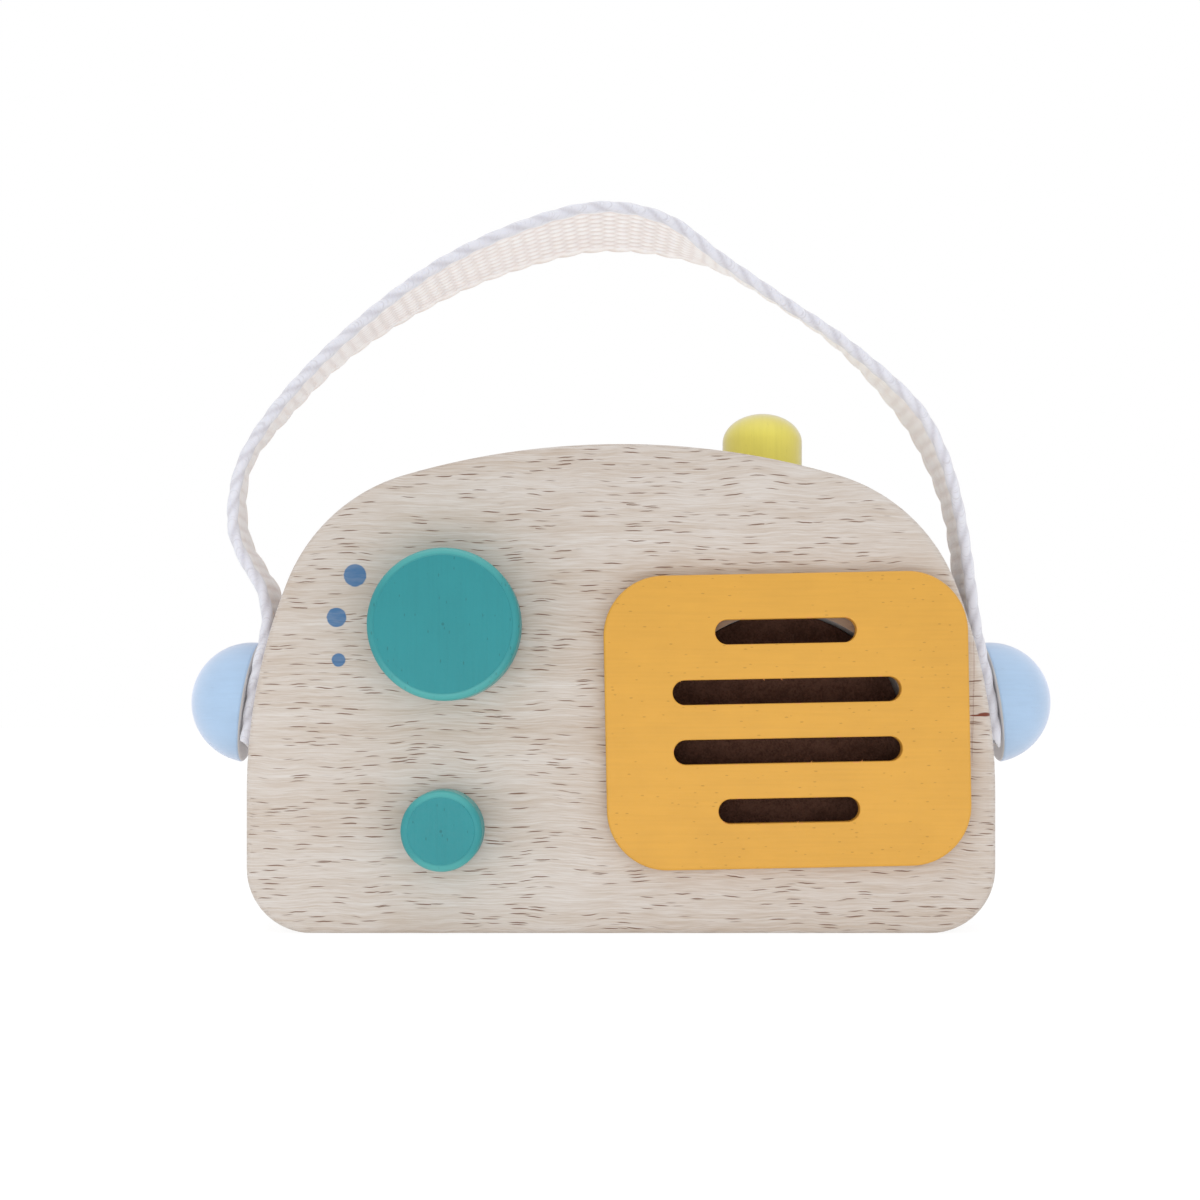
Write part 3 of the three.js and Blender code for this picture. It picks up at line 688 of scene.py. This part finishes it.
# Paint over wood: a little uneven in tone, with the pores of the wood showing through and a fine peel
def paint_group():
    inputs = {"Place": "Vector", "Paint": "Color", "Pores": "Float"}
    group, given, wanted = new_group("paint_coat", inputs)
    cloud = noise_in_cells(group, given["Place"], (0.012, 0.012, 0.009), 3.0)
    grain = noise_in_cells(group, given["Place"], (0.016, 0.003, 0.0006), 3.0)
    peel = noise_in_cells(group, given["Place"], (0.0006, 0.0006, 0.0006), 2.0)
    pores = flecks(group, given["Place"], (0.0028, 0.0030, 0.0010), (0.17, 0.17, 0.17))
    pores = product(group, pores, given["Pores"])
    dark = vector_maths(group, "MULTIPLY", given["Paint"], (0.80, 0.80, 0.80))[0]
    pore_dark = vector_maths(group, "MULTIPLY", given["Paint"], (0.42, 0.40, 0.38))[0]
    uneven = eased(group, cloud, 0.3, 0.7, 0.0, 0.22)
    uneven = maths(group, "ADD", uneven, eased(group, grain, 0.3, 0.75, 0.0, 0.20))
    coat = mixed(group, uneven, given["Paint"], dark)
    group.links.new(mixed(group, pores, coat, pore_dark), wanted["Color"])
    group.links.new(eased(group, peel, 0.2, 0.8, 0.42, 0.58), wanted["Roughness"])
    height = weighted(group, grain, 0.5, peel, 0.3)
    group.links.new(maths(group, "SUBTRACT", height, pores), wanted["Height"])
    return group


PAINT_BUMP = 0.00006
BLOOM_TINT = colour(244, 244, 255)
paint_coat = paint_group()


# A painted finish, with the pattern's middle moved to a place and its grain turned. The bloom is the sheen of
# a powdery coat, which pales where it is seen edge on.
def painted(name, paint, pores, middle=(0, 0, 0), turn=(0, 0, 0), bloom=0.0):
    sheen = {"Sheen Weight": bloom, "Sheen Roughness": 0.45, "Sheen Tint": BLOOM_TINT}
    made, tree, surface = new_material(name, {"Specular IOR Level": 0.4, **sheen})
    place = mapped(tree, object_place(tree), {"Location": middle, "Rotation": turn}, "TEXTURE")
    lay_on(tree, surface, paint_coat, {"Place": place, "Paint": paint, "Pores": pores}, PAINT_BUMP)
    return made


# A number that the vertices of a mesh carry
def marked(tree, name):
    return add_node(tree, "Attribute", attribute_name=name).outputs["Fac"]


# Bare wood where the paint has come off: in patches on the slots' lips, marked 1, and on splinters, marked 2
def add_chips(made):
    tree, surface, coat = reopened(made)
    lip = marked(tree, "lip")
    patches = noise_in_cells(tree, object_place(tree), (0.0016, 0.0016, 0.0009), 2.0)
    chips = product(tree, eased(tree, patches, 0.60, 0.66), eased(tree, lip, 0.3, 0.9))
    chips = maths(tree, "MAXIMUM", chips, eased(tree, lip, 1.2, 1.8))
    tree.links.new(mixed(tree, chips, coat, CHIPPED), surface["Base Color"])


mustard = painted("mustard_paint", MUSTARD, pores=0.4)
add_chips(mustard)
bm = rounded_board(PLATE_WIDTH, PLATE_HEIGHT, PLATE_CORNER, 18, plate_low.y, plate_high.y)
round_off(bm, rims_of(bm), PLATE_EDGE_ROUND, 4)
plate = piece_from(bm, "speaker_plate", mustard)
bore(plate, list(slot_cutters()))

bm = bmesh.new()
bm.from_mesh(plate.data)
lip_mark = bm.verts.layers.float.new("lip")


# An edge of the plate's face that belongs to a slot: it is well inside the outline
def on_slot(edge):
    inside = all(
        abs(vertex.co.x) < PLATE_WIDTH / 2 - PLATE_CORNER / 2
        and abs(vertex.co.z) < PLATE_HEIGHT / 2 - PLATE_CORNER / 2
        and abs(vertex.co.y - plate_low.y) < SAME_PLACE
        for vertex in edge.verts
    )
    return inside and edge.calc_face_angle(0) > math.radians(60)


lips = [edge for edge in bm.edges if on_slot(edge)]
made = round_off(bm, lips, SLOT_LIP, 3)
for vertex in made["verts"]:
    if vertex.co.y > plate_low.y + SAME_PLACE:
        vertex[lip_mark] = 1.0
for along, index, edge_side in SPLINTERS:
    root = Vector((along, plate_low.y + SLOT_LIP, slot_rise(index) + edge_side * SLOT_WIDTH / 2))
    place = Matrix.Translation(root) @ pointed(Vector((SPLINTER_LEAN, 0, -edge_side)))
    made = add_rod(bm, SPLINTER_RADIUS, SPLINTER_LENGTH, SPLINTER_SIDES, place, 0)
    for vertex in made["verts"]:
        vertex[lip_mark] = 2.0
bm.transform(plate_place)
bm.to_mesh(plate.data)
bm.free()
shade(plate.data, CREASE)
even_shading(plate)
join_frame(plate, "case", "mustard_paint", "speaker_grille")

# The knobs: two discs turned from dowel, painted teal, with a soft rim and a spur mark of the lathe in the
# middle. Each is glued on a beech spindle that a steel washer and a screw hold from the back of the block.
KNOB_RIM = 0.0014
KNOB_CREASE = 0.00012  # the small step at which the rim breaks from the flat face
KNOB_SOCKET = 0.007
TURNED_SIDES = 112
TEAL = colour(36, 136, 142)
TEAL_RIM_HIGHLIGHT = colour(96, 182, 176)  # painted highlight on the rim, strongest at its top and bottom
TEAL_PORES = 0.8
SPUR_RADIUS = 0.0004
GRAIN_UPRIGHT = (0, math.radians(90), 0)
GRAIN_TO_FRONT = (0, 0, math.radians(90))


# Turns an open profile, drawn in the XZ plane with X as its radius, about the Z axis
def turn(bm, place):
    bmesh.ops.spin(
        bm,
        geom=bm.verts[:] + bm.edges[:],
        cent=(0, 0, 0),
        axis=(0, 0, 1),
        angle=math.radians(360),
        steps=TURNED_SIDES,
        use_merge=True,
    )
    bm.transform(place)


def knob_profile(radius, thickness, socket):
    inner = radius - KNOB_RIM
    return profile(
        (0, 0, 0),
        (inner - KNOB_CREASE, 0, 0),
        (inner, 0, -KNOB_CREASE),
        ((inner, 0, -KNOB_RIM - KNOB_CREASE), -90, 10),
        (radius, 0, KNOB_RIM - thickness),
        ((inner, 0, KNOB_RIM - thickness), -90, 8),
        (socket, 0, -thickness),
        (socket, 0, KNOB_SOCKET - thickness),
        (0, 0, KNOB_SOCKET - thickness),
    )


# The dent of the lathe's centre, and a painted highlight on the rim, strongest at its top and bottom, where
# the rim is also made less rough
def add_spur_and_rim_highlight(made, middle, radius):
    tree, surface, coat = reopened(made)
    distance = distance_on_front(tree, middle.xz)
    mark = eased(tree, distance, SPUR_RADIUS, 0.4 * SPUR_RADIUS, 0.0, 0.6)
    height = add_node(tree, "SeparateXYZ", {0: object_place(tree)}).outputs["Z"]
    off_middle = maths(tree, "ABSOLUTE", maths(tree, "SUBTRACT", height, middle.z))
    # Painted highlight: lighter teal on the rim, growing towards its top and bottom
    top_and_bottom = eased(tree, off_middle, 0.35 * radius, 0.95 * radius, 0.08, 0.5)
    on_rim = eased(tree, distance, radius - 1.2 * KNOB_RIM, radius - 0.7 * KNOB_RIM)
    rim_highlight_and_polish = product(tree, on_rim, top_and_bottom)
    rough = surface["Roughness"].links[0].from_socket
    tree.links.new(maths(tree, "SUBTRACT", rough, product(tree, rim_highlight_and_polish, 0.25)), surface["Roughness"])
    spur = vector_maths(tree, "MULTIPLY", coat, (0.45, 0.5, 0.5))[0]
    coat = mixed(tree, mark, mixed(tree, rim_highlight_and_polish, coat, TEAL_RIM_HIGHLIGHT), spur)
    tree.links.new(coat, surface["Base Color"])


STEEL_DARK = colour(120, 120, 122)
STEEL_LIGHT = colour(176, 177, 180)


def steel():
    made, tree, surface = new_material("plain_steel", {"Metallic": 1.0})
    drawn = noise_in_cells(tree, object_place(tree), (0.004, 0.0004, 0.0004), 3.0)
    tree.links.new(mixed(tree, eased(tree, drawn, 0.3, 0.7), STEEL_DARK, STEEL_LIGHT), surface["Base Color"])
    tree.links.new(eased(tree, drawn, 0.3, 0.7, 0.28, 0.45), surface["Roughness"])
    return made


plain_steel = steel()
spindle_beech = beech("spindle_beech", GRAIN_TO_FRONT)
for name in ("tuning", "volume"):
    middle = middle_of(f"{name}_knob")
    knob_low, knob_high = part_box(f"{name}_knob")
    teal = painted(f"teal_paint_{name}", TEAL, TEAL_PORES, middle, GRAIN_UPRIGHT)
    radius = radius_of(f"{name}_knob")
    add_spur_and_rim_highlight(teal, middle, radius)
    bm = knob_profile(radius, knob_high.y - knob_low.y, radius_of(f"{name}_spindle") + GLUED_FIT)
    turn(bm, Matrix.Translation((middle.x, knob_low.y, middle.z)) @ TO_FRONT)
    knob = piece_from(bm, f"{name}_dial", teal, crease=40)
    join_frame(knob, name, "teal_paint", f"{name}_knob")
    dress(f"{name}_spindle", spindle_beech)
    dress(f"{name}_washer", plain_steel)
    dress(f"{name}_screw", plain_steel)

# The plugs: two beech discs glued into the counterbores at the back, sanded flush with it. They are cut
# across a board, so that their grain runs like the block's, but never quite in line with it.
ROD_SIDES = 64
PLUG_EDGE_ROUND = 0.0003
PLUG_GRAIN = {"tuning": math.radians(14), "volume": math.radians(-23)}


# A rod along Y with softened ends, in the place of a node
def rod_in_place_of(node, edge_round, finish, name):
    low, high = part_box(node)
    place = Matrix.Translation((low + high) / 2) @ TO_FRONT
    bm = bmesh.new()
    add_rod(bm, radius_of(node), high.y - low.y, ROD_SIDES, place)
    round_off(bm, rims_of(bm), edge_round, 3)
    piece = piece_from(bm, name, finish)
    even_shading(piece)
    return piece


for name, grain in PLUG_GRAIN.items():
    plug_beech = beech(f"{name}_plug_beech", (0, grain, 0))
    plug = rod_in_place_of(f"{name}_plug", PLUG_EDGE_ROUND, plug_beech, f"{name}_stopper")
    join_frame(plug, "case", "beech", f"{name}_plug")

# The button: a dowel with a domed top, painted lemon, that slides in a bore in the crown. A beech pin from
# the back runs through a slot in it, so that it can't come out, and a steel spring lifts it.
BUTTON_DOME = 0.0060
BUTTON_FOOT_ROUND = 0.0004
PIN_EDGE_ROUND = 0.0002
SPRING_TURNS = 5
SPRING_WIRE = 0.0005  # radius of the wire
SPRING_SIDES = 10
SPRING_STEPS = 36  # for each turn
LEMON = colour(233, 220, 96)

dome_start = button_high.z - button_radius
bm = profile(
    (0, 0, button_low.z),
    (button_radius - BUTTON_FOOT_ROUND, 0, button_low.z),
    (button_radius, 0, button_low.z + BUTTON_FOOT_ROUND),
    (button_radius, 0, dome_start),
    ((0, 0, dome_start), 90, 24),
)
dome = [vertex for vertex in bm.verts if vertex.co.z > dome_start - DOUBLE]
to_top = Matrix.Translation((0, 0, button_high.z))
bmesh.ops.scale(bm, vec=(1, 1, BUTTON_DOME / button_radius), space=to_top.inverted(), verts=dome)
turn(bm, Matrix.Translation((button_place.x, 0, 0)))
lemon = painted("lemon_paint", LEMON, 0.1, button_place, GRAIN_UPRIGHT, bloom=1.0)
button = piece_from(bm, "push_button", lemon, crease=50)
pin_width = 2 * (pin_radius + SEAT_GAP)
travel = next(joint for joint in frame["joints"] if joint["name"] == "button_press")["range_m"][1]
past = button_radius + OVERSHOOT
bm = rounded_board(pin_width, pin_width + travel, pin_width / 2 - SAME_PLACE, 12, -past, past)
bm.transform(Matrix.Translation((button_place.x, 0, pin_place.z + travel / 2)))
bore(button, [piece_from(bm, "pin_slot", None)])
join_frame(button, "button", "lemon_paint", "button")

pin_beech = beech("pin_beech", GRAIN_TO_FRONT)
pin = rod_in_place_of("button_retaining_dowel", PIN_EDGE_ROUND, pin_beech, "button_pin")
join_frame(pin, "case", "beech", "button_retaining_dowel")

spring_radius = radius_of("button_spring") - SPRING_WIRE
spring_rise = spring_high.z - spring_low.z - 2 * SPRING_WIRE
coil_steps = SPRING_TURNS * SPRING_STEPS
bm = bmesh.new()
upright = Matrix.Translation((button_place.x + spring_radius, 0, spring_low.z + SPRING_WIRE)) @ TO_FRONT
bmesh.ops.create_circle(bm, cap_ends=True, segments=SPRING_SIDES, radius=SPRING_WIRE, matrix=upright)
bmesh.ops.spin(
    bm,
    geom=bm.faces[:],
    cent=(button_place.x, 0, 0),
    axis=(0, 0, 1),
    dvec=(0, 0, spring_rise / coil_steps),
    angle=math.radians(360 * SPRING_TURNS),
    steps=coil_steps,
)
spring = piece_from(bm, "lifting_spring", plain_steel, crease=60)
join_frame(spring, "case", "steel", "button_spring")
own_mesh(spring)

# The caps: two half balls of beech, painted sky blue on the dome and left bare on the flat. Each is glued on
# a dowel in the block's side, and clamps one end of the strap between its flat and the block.
CAP_RADIUS = 0.0125
CAP_EDGE_ROUND = 0.0006
CAP_DOWEL_IN_CAP = 0.008
STRAP_THICKNESS = 0.0025
SKY_BLUE = colour(169, 197, 227)
CAP_BARE = colour(216, 214, 209)

cap_base = SEAT_GAP + STRAP_THICKNESS + SEAT_GAP
cap_place = Matrix.Translation(cap_foot + cap_axis * cap_base) @ pointed(cap_axis)


# The flat of the cap stays bare, up to where its edge begins to turn
def add_bare_flat(made, outward, base):
    tree, surface, coat = reopened(made)
    along = vector_maths(tree, "DOT_PRODUCT", object_place(tree), outward)["Value"]
    flat = base.dot(outward)
    bare = eased(tree, along, flat + 0.5 * CAP_EDGE_ROUND, flat + 0.2 * CAP_EDGE_ROUND)
    tree.links.new(mixed(tree, bare, coat, CAP_BARE), surface["Base Color"])


ball_start = math.asin(CAP_EDGE_ROUND / CAP_RADIUS)
cap_dowel_beech = beech("cap_dowel_beech")
for name, mirror in SIDES.items():
    bm = profile(
        (0, 0, CAP_DOWEL_IN_CAP),
        (dowel_hole, 0, CAP_DOWEL_IN_CAP),
        (dowel_hole, 0, 0),
        (CAP_RADIUS - CAP_EDGE_ROUND, 0, 0),
        ((CAP_RADIUS - CAP_EDGE_ROUND, 0, CAP_EDGE_ROUND), 90, 5),
        (CAP_RADIUS * math.cos(ball_start), 0, CAP_EDGE_ROUND),
        ((0, 0, 0), 90 - math.degrees(ball_start), 28),
    )
    turn(bm, mirror @ cap_place)
    middle = mirror @ cap_foot
    sky_blue = painted(f"sky_blue_paint_{name}", SKY_BLUE, 0.1, middle, bloom=1.0)
    add_bare_flat(sky_blue, mirror @ cap_axis, mirror @ cap_place.translation)
    cap = piece_from(bm, f"{name}_half_ball", sky_blue, crease=50)
    join_frame(cap, "case", "sky_blue_paint", f"{name}_strap_cap")
    dress(f"{name}_cap_dowel", cap_dowel_beech)

# The strap: one length of thick cotton webbing, woven of white cord in a plain weave with a looped selvedge.
# Its ends are punched for the dowels and clamped under the caps, and the loop stands in an arch of its own.
STRAP_WIDTH = 0.020
STRAP_END_DROP = 0.0082  # strap below the middle of the cap, measured along the side
STRAP_CLAMPED_RISE = 0.0085  # strap above the middle of the cap that still lies along the side
CLAMPED_STEPS = 4
ROUTE_STEPS = 16  # between two points of the route

# Free run of the middle line, left to right. A leg's point is its distance out from the block's side and its
# height over the block's top; a point of the arch has its distance right of the middle instead. The last
# number is the twist in degrees, which lifts or turns out the back edge.
LEFT_LEG = [
    (-0.0028, -0.035, 0),
    (-0.0016, -0.0285, 0),
    (0.0012, -0.0238, 0),
    (0.0042, -0.0175, 2),
    (0.0048, -0.0105, 5),
    (0.0032, -0.002, 8),
    (-0.0035, 0.008, 5),
]
ARCH = [
    (-0.057, 0.0227, 2),
    (-0.034, 0.0379, -8),
    (-0.010, 0.0464, -14),
    (0.0, 0.0471, -14),
    (0.010, 0.0451, -8),
    (0.020, 0.0402, 6),
    (0.034, 0.0313, 10),
    (0.0465, 0.0225, 8),
]
RIGHT_LEG = [
    (-0.0145, 0.0083, 0),
    (-0.0096, -0.0005, 0),
    (-0.0063, -0.010, 2),
    (-0.0043, -0.021, 2),
    (-0.0028, -0.035, 0),
]


# The middle line where the strap lies along the right-hand side under the cap, from the top down
def clamped_run():
    radius = SIDE_RADIUS + SEAT_GAP + STRAP_THICKNESS / 2
    top = cap_lean + STRAP_CLAMPED_RISE / radius
    end = cap_lean - STRAP_END_DROP / radius
    angles = [top + (end - top) * step / CLAMPED_STEPS for step in range(CLAMPED_STEPS + 1)]
    return [Vector((side.x + radius * math.cos(a), side.y + radius * math.sin(a), 0)) for a in angles]


# A smooth run through points of across, up and twist, with its bends eased by the distance between them
def smooth_run(points, steps):
    ends = [2 * points[0] - points[1], *points, 2 * points[-1] - points[-2]]
    run = [points[0]]
    for before, start, end, after in zip(ends, ends[1:], ends[2:], ends[3:]):
        t0, t1, t2 = (math.sqrt((b - a).xy.length) for a, b in ((before, start), (start, end), (end, after)))
        leave = ((start - before) / t0 - (end - before) / (t0 + t1) + (end - start) / t1) * t1
        arrive = ((end - start) / t1 - (after - start) / (t1 + t2) + (after - end) / t2) * t1
        run += interpolate_bezier(start, start + leave / 3, end - arrive / 3, end, steps + 1)[1:]
    return run


clamped = clamped_run()
route = smooth_run(
    [
        *[Vector((-place.x, place.y, 0)) for place in reversed(clamped)],
        *[Vector((-case_half - out, case_top + up, twist)) for out, up, twist in LEFT_LEG],
        *[Vector((x, case_top + up, twist)) for x, up, twist in ARCH],
        *[Vector((case_half + out, case_top + up, twist)) for out, up, twist in RIGHT_LEG],
        *clamped,
    ],
    ROUTE_STEPS,
)


# The same run at even steps of length: at each, the length so far, the middle and the ways across, out and on
def even_run(run, steps):
    lengths = [0.0]
    for a, b in zip(run, run[1:]):
        lengths.append(lengths[-1] + (b - a).xy.length)
    index = 0
    for step in range(steps + 1):
        reached = lengths[-1] * step / steps
        while index < len(run) - 2 and lengths[index + 1] < reached:
            index += 1
        a, b = run[index], run[index + 1]
        here = a.lerp(b, (reached - lengths[index]) / (lengths[index + 1] - lengths[index]))
        before, after = run[max(index - 1, 0)], run[min(index + 2, len(run) - 1)]
        along = (after - before).xy.normalized()
        out = Vector((-along.y, 0, along.x))
        twist = math.radians(here.z)
        across = Vector((0, math.cos(twist), 0)) + out * math.sin(twist)
        through = out * math.cos(twist) - Vector((0, math.sin(twist), 0))
        yield reached, Vector((here.x, 0, here.y)), across, through, Vector((along.x, 0, along.y))


# The weave. Each warp cord runs along the strap over one weft and under the next, and its neighbours run the
# other way. At both edges the weft turns round the outermost cord, like two strands twisted together.
WARPS = 20
CORD = 0.00076
CORD_WAVE = 0.00024
CORD_UNEVENNESS = 0.05  # share by which a cord's thickness changes along it
CORD_LUMP = 1 / 700  # of a metre, from one lump in a cord to the next
APART = 3.7  # between neighbouring cords in the noise, so that each is uneven in its own way
FLOAT_LENGTH = 0.0028
EDGE_CREST = 0.00125
EDGE_SPREADS = {0: 0.00021, WARPS - 1: 0.00034}  # of the strands, at the front edge and at the back one
SAMPLES_BETWEEN_WARPS = 3
EDGE_SAMPLES = 10
ALONG_STEPS = 650
FIRST_WARP = -STRAP_WIDTH / 2 + EDGE_CREST
WARP_PITCH = -2 * FIRST_WARP / (WARPS - 1)
CLAMPED_LENGTH = 0.014  # of the strap that lies well under a cap
CLAMPED_EASE = 0.013
CLAMPED_SWELL = 0.19  # share by which the edges swell there
CLAMPED_SPREAD = 0.13  # share by which the weave spreads there
FRAYED_LENGTH = 0.0030
FRAY = 0.0022
FRAYED_STRAND = 1 / 900  # of a metre, the breadth that slips as one
STRAP_CREASE = 80
STRAP_MARKS = ("along", "across", "rise")  # what its vertices carry for the finish

run = list(even_run(route, ALONG_STEPS))
strap_length = run[-1][0]


def from_end(distance):
    return min(distance, strap_length - distance)


# How much a cap squeezes the strap, from 0 in its free run to 1 under the cap
def squeeze(distance):
    share = (CLAMPED_LENGTH + CLAMPED_EASE - from_end(distance)) / CLAMPED_EASE
    share = max(0.0, min(1.0, share))
    return share * share * (3 - 2 * share)


# How far a twisted edge reaches from its middle in the crease between its strands
def edge_crease(warp):
    return math.sqrt(EDGE_CREST * (EDGE_CREST - 2 * EDGE_SPREADS[warp]))


# How far it reaches at an angle from the outer face of the strap
def edge_reach(distance, angle, warp):
    twist = math.pi * distance / (2 * FLOAT_LENGTH)
    spread = EDGE_SPREADS[warp] * abs(math.cos(angle - twist))
    return spread + math.sqrt(edge_crease(warp) ** 2 + spread**2)


def cord_middle(distance, warp):
    wave = 0.0 if warp in EDGE_SPREADS else CORD_WAVE
    return wave * math.cos(math.pi * (distance / FLOAT_LENGTH + warp))


def cord_radius(distance, warp):
    uneven = 1 + CORD_UNEVENNESS * noise.noise((distance / CORD_LUMP, warp * APART, 0))
    return uneven * (edge_reach(distance, 0.0, warp) if warp in EDGE_SPREADS else CORD)


# Height of the woven face over the middle of the cloth: the highest of the cords beside a place
def face_height(distance, across, face):
    nearest = round((across - FIRST_WARP) / WARP_PITCH)
    heights = []
    for warp in range(max(nearest - 1, 0), min(nearest + 1, WARPS - 1) + 1):
        aside = across - FIRST_WARP - warp * WARP_PITCH
        radius = cord_radius(distance, warp)
        if abs(aside) < radius:
            heights.append(face * cord_middle(distance, warp) + math.sqrt(radius**2 - aside**2))
    return max(heights)


# Places round the strap's section: the two faces, and between them the turns round the edge cords
def section_places():
    samples = SAMPLES_BETWEEN_WARPS * (WARPS - 1)
    spread = [FIRST_WARP - 2 * FIRST_WARP * step / samples for step in range(samples + 1)]
    turns = [math.pi * step / EDGE_SAMPLES for step in range(1, EDGE_SAMPLES)]
    upper = [("face", across, 1) for across in spread]
    lower = [("face", across, -1) for across in reversed(spread)]
    right = [("edge", angle, 1) for angle in turns]
    left = [("edge", math.pi - angle, -1) for angle in turns]
    return upper + right + lower + left


# Across and out from the middle line, for a place round the section, and how high it stands on its cord
def section_point(distance, place):
    kind, value, sign = place
    spread = 1 + CLAMPED_SPREAD * squeeze(distance)
    if kind == "face":
        height = face_height(distance, value, sign)
        return spread * value, sign * height, (height - CORD + CORD_WAVE) / (2 * CORD_WAVE)
    warp = WARPS - 1 if sign > 0 else 0
    reach = edge_reach(distance, value, warp)
    crease = edge_crease(warp)
    rise = (reach - crease) / (EDGE_CREST - crease)
    reach *= 1 + CLAMPED_SWELL * squeeze(distance)
    across = sign * (reach * math.sin(value) - spread * FIRST_WARP)
    return across, reach * math.cos(value), rise


# How far the cut end of a cord has slipped along the strap
def fray_at(distance, aside, height):
    share = max(0.0, 1 - from_end(distance) / FRAYED_LENGTH)
    end = math.floor(distance / strap_length + 0.5)
    return share * FRAY * noise.noise((aside / FRAYED_STRAND, height / FRAYED_STRAND, end))


places = section_places()
bm = bmesh.new()
bmesh.ops.create_grid(bm, x_segments=ALONG_STEPS, y_segments=len(places), size=1)
marks = [bm.verts.layers.float.new(name) for name in STRAP_MARKS]
for vertex in bm.verts:
    step = round((vertex.co.x + 1) / 2 * ALONG_STEPS)
    place = places[round((vertex.co.y + 1) / 2 * len(places)) % len(places)]
    distance, middle, across, through, onwards = run[step]
    aside, height, rise = section_point(distance, place)
    slip = fray_at(distance, aside, height)
    vertex.co = middle + across * aside + through * height + onwards * slip
    for mark, value in zip(marks, (distance, aside, rise)):
        vertex[mark] = value
bmesh.ops.remove_doubles(bm, verts=bm.verts, dist=DOUBLE)
bmesh.ops.holes_fill(bm, edges=[edge for edge in bm.edges if edge.is_boundary], sides=0)

COTTON = colour(254, 252, 253)
# darker, warmer cotton: painted shade in the weave's valleys, and the random unevenness of the yarn
COTTON_VALLEY_SHADE_AND_TONE = colour(224, 213, 210)
# bluish white of the front edge: painted cool light
COTTON_FRONT_EDGE_COOL_LIGHT = colour(219, 220, 229)
COTTON_CREASE_SHADE = colour(196, 195, 203)  # painted shade between the strands of the front edge
COTTON_LOOP_SHADE = colour(224, 212, 204)  # painted warm shade on the loops of the back edge
COTTON_BUMP = 0.00016
PLY_SLANT = math.radians(28)  # of the cord's own twist
SELVEDGE = (0.0022, 0.0008)  # in from an edge: where the edge's painted light and shade begin, and where they are full


def cotton():
    plain = {
        "Specular IOR Level": 0.15,
        "Sheen Weight": 0.3,
        "Subsurface Weight": 0.6,
        "Subsurface Radius": (1.0, 0.95, 0.9),
        "Subsurface Scale": 0.0018,
    }
    made, tree, surface = new_material("cotton_webbing", plain)
    along, across, rise = (marked(tree, name) for name in STRAP_MARKS)
    place = add_node(tree, "CombineXYZ", {"X": along, "Y": across, "Z": 0.0}).outputs[0]
    slant = mapped(tree, place, {"Rotation": (0, 0, PLY_SLANT)})
    ply = noise_in_cells(tree, slant, (0.0018, 0.00022, 0.3), 2.0)
    fuzz = noise_in_cells(tree, place, (0.00035, 0.00035, 0.3), 3.0)
    patches = noise_in_cells(tree, place, (0.012, 0.004, 4.0), 2.0)
    # Painted shade: the cloth is darkened where it sinks lowest between the cords
    valley_shade = eased(tree, rise, 0.9, 0.0)
    yarn = mixed(tree, product(tree, valley_shade, 0.8), COTTON, COTTON_VALLEY_SHADE_AND_TONE)
    for uneven in (ply, patches):
        yarn = mixed(tree, eased(tree, uneven, 0.35, 0.75, 0.0, 0.25), yarn, COTTON_VALLEY_SHADE_AND_TONE)
    inner, outer = (STRAP_WIDTH / 2 - width for width in SELVEDGE)
    # The front edge gets painted bluish light with painted shade in its creases, and the back edge painted
    # warm shade on its loops
    on_front = eased(tree, across, -inner, -outer, 0.0, 0.9)
    on_back = eased(tree, across, inner, outer, 0.0, 0.9)
    # Painted shade in the creases of the front edge, low between its strands and along the cord's twist
    hatch = product(tree, valley_shade, eased(tree, fuzz, 0.3, 0.7, 0.4, 0.9))
    hatch = maths(tree, "MAXIMUM", hatch, eased(tree, ply, 0.5, 0.7, 0.0, 0.7))
    selvedge = mixed(tree, hatch, COTTON_FRONT_EDGE_COOL_LIGHT, COTTON_CREASE_SHADE)
    # Painted warm shade on the back edge: its valleys take the valley colour and its loop crests a beige one
    back_edge_shade = mixed(tree, eased(tree, rise, 0.2, 0.8), COTTON_VALLEY_SHADE_AND_TONE, COTTON_LOOP_SHADE)
    yarn = mixed(tree, on_back, mixed(tree, on_front, yarn, selvedge), back_edge_shade)
    height = weighted(tree, ply, 0.7, fuzz, 0.6)
    finish_surface(tree, surface, yarn, eased(tree, fuzz, 0.2, 0.8, 0.82, 0.98), height, COTTON_BUMP)
    return made


strap = piece_from(bm, "carry_strap", cotton(), STRAP_CREASE)
bore(strap, drills_for_cap_dowels(-OVERSHOOT, cap_base + OVERSHOOT), STRAP_CREASE)
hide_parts("strap_span", "strap_left_tab", "strap_right_tab")
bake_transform(strap)
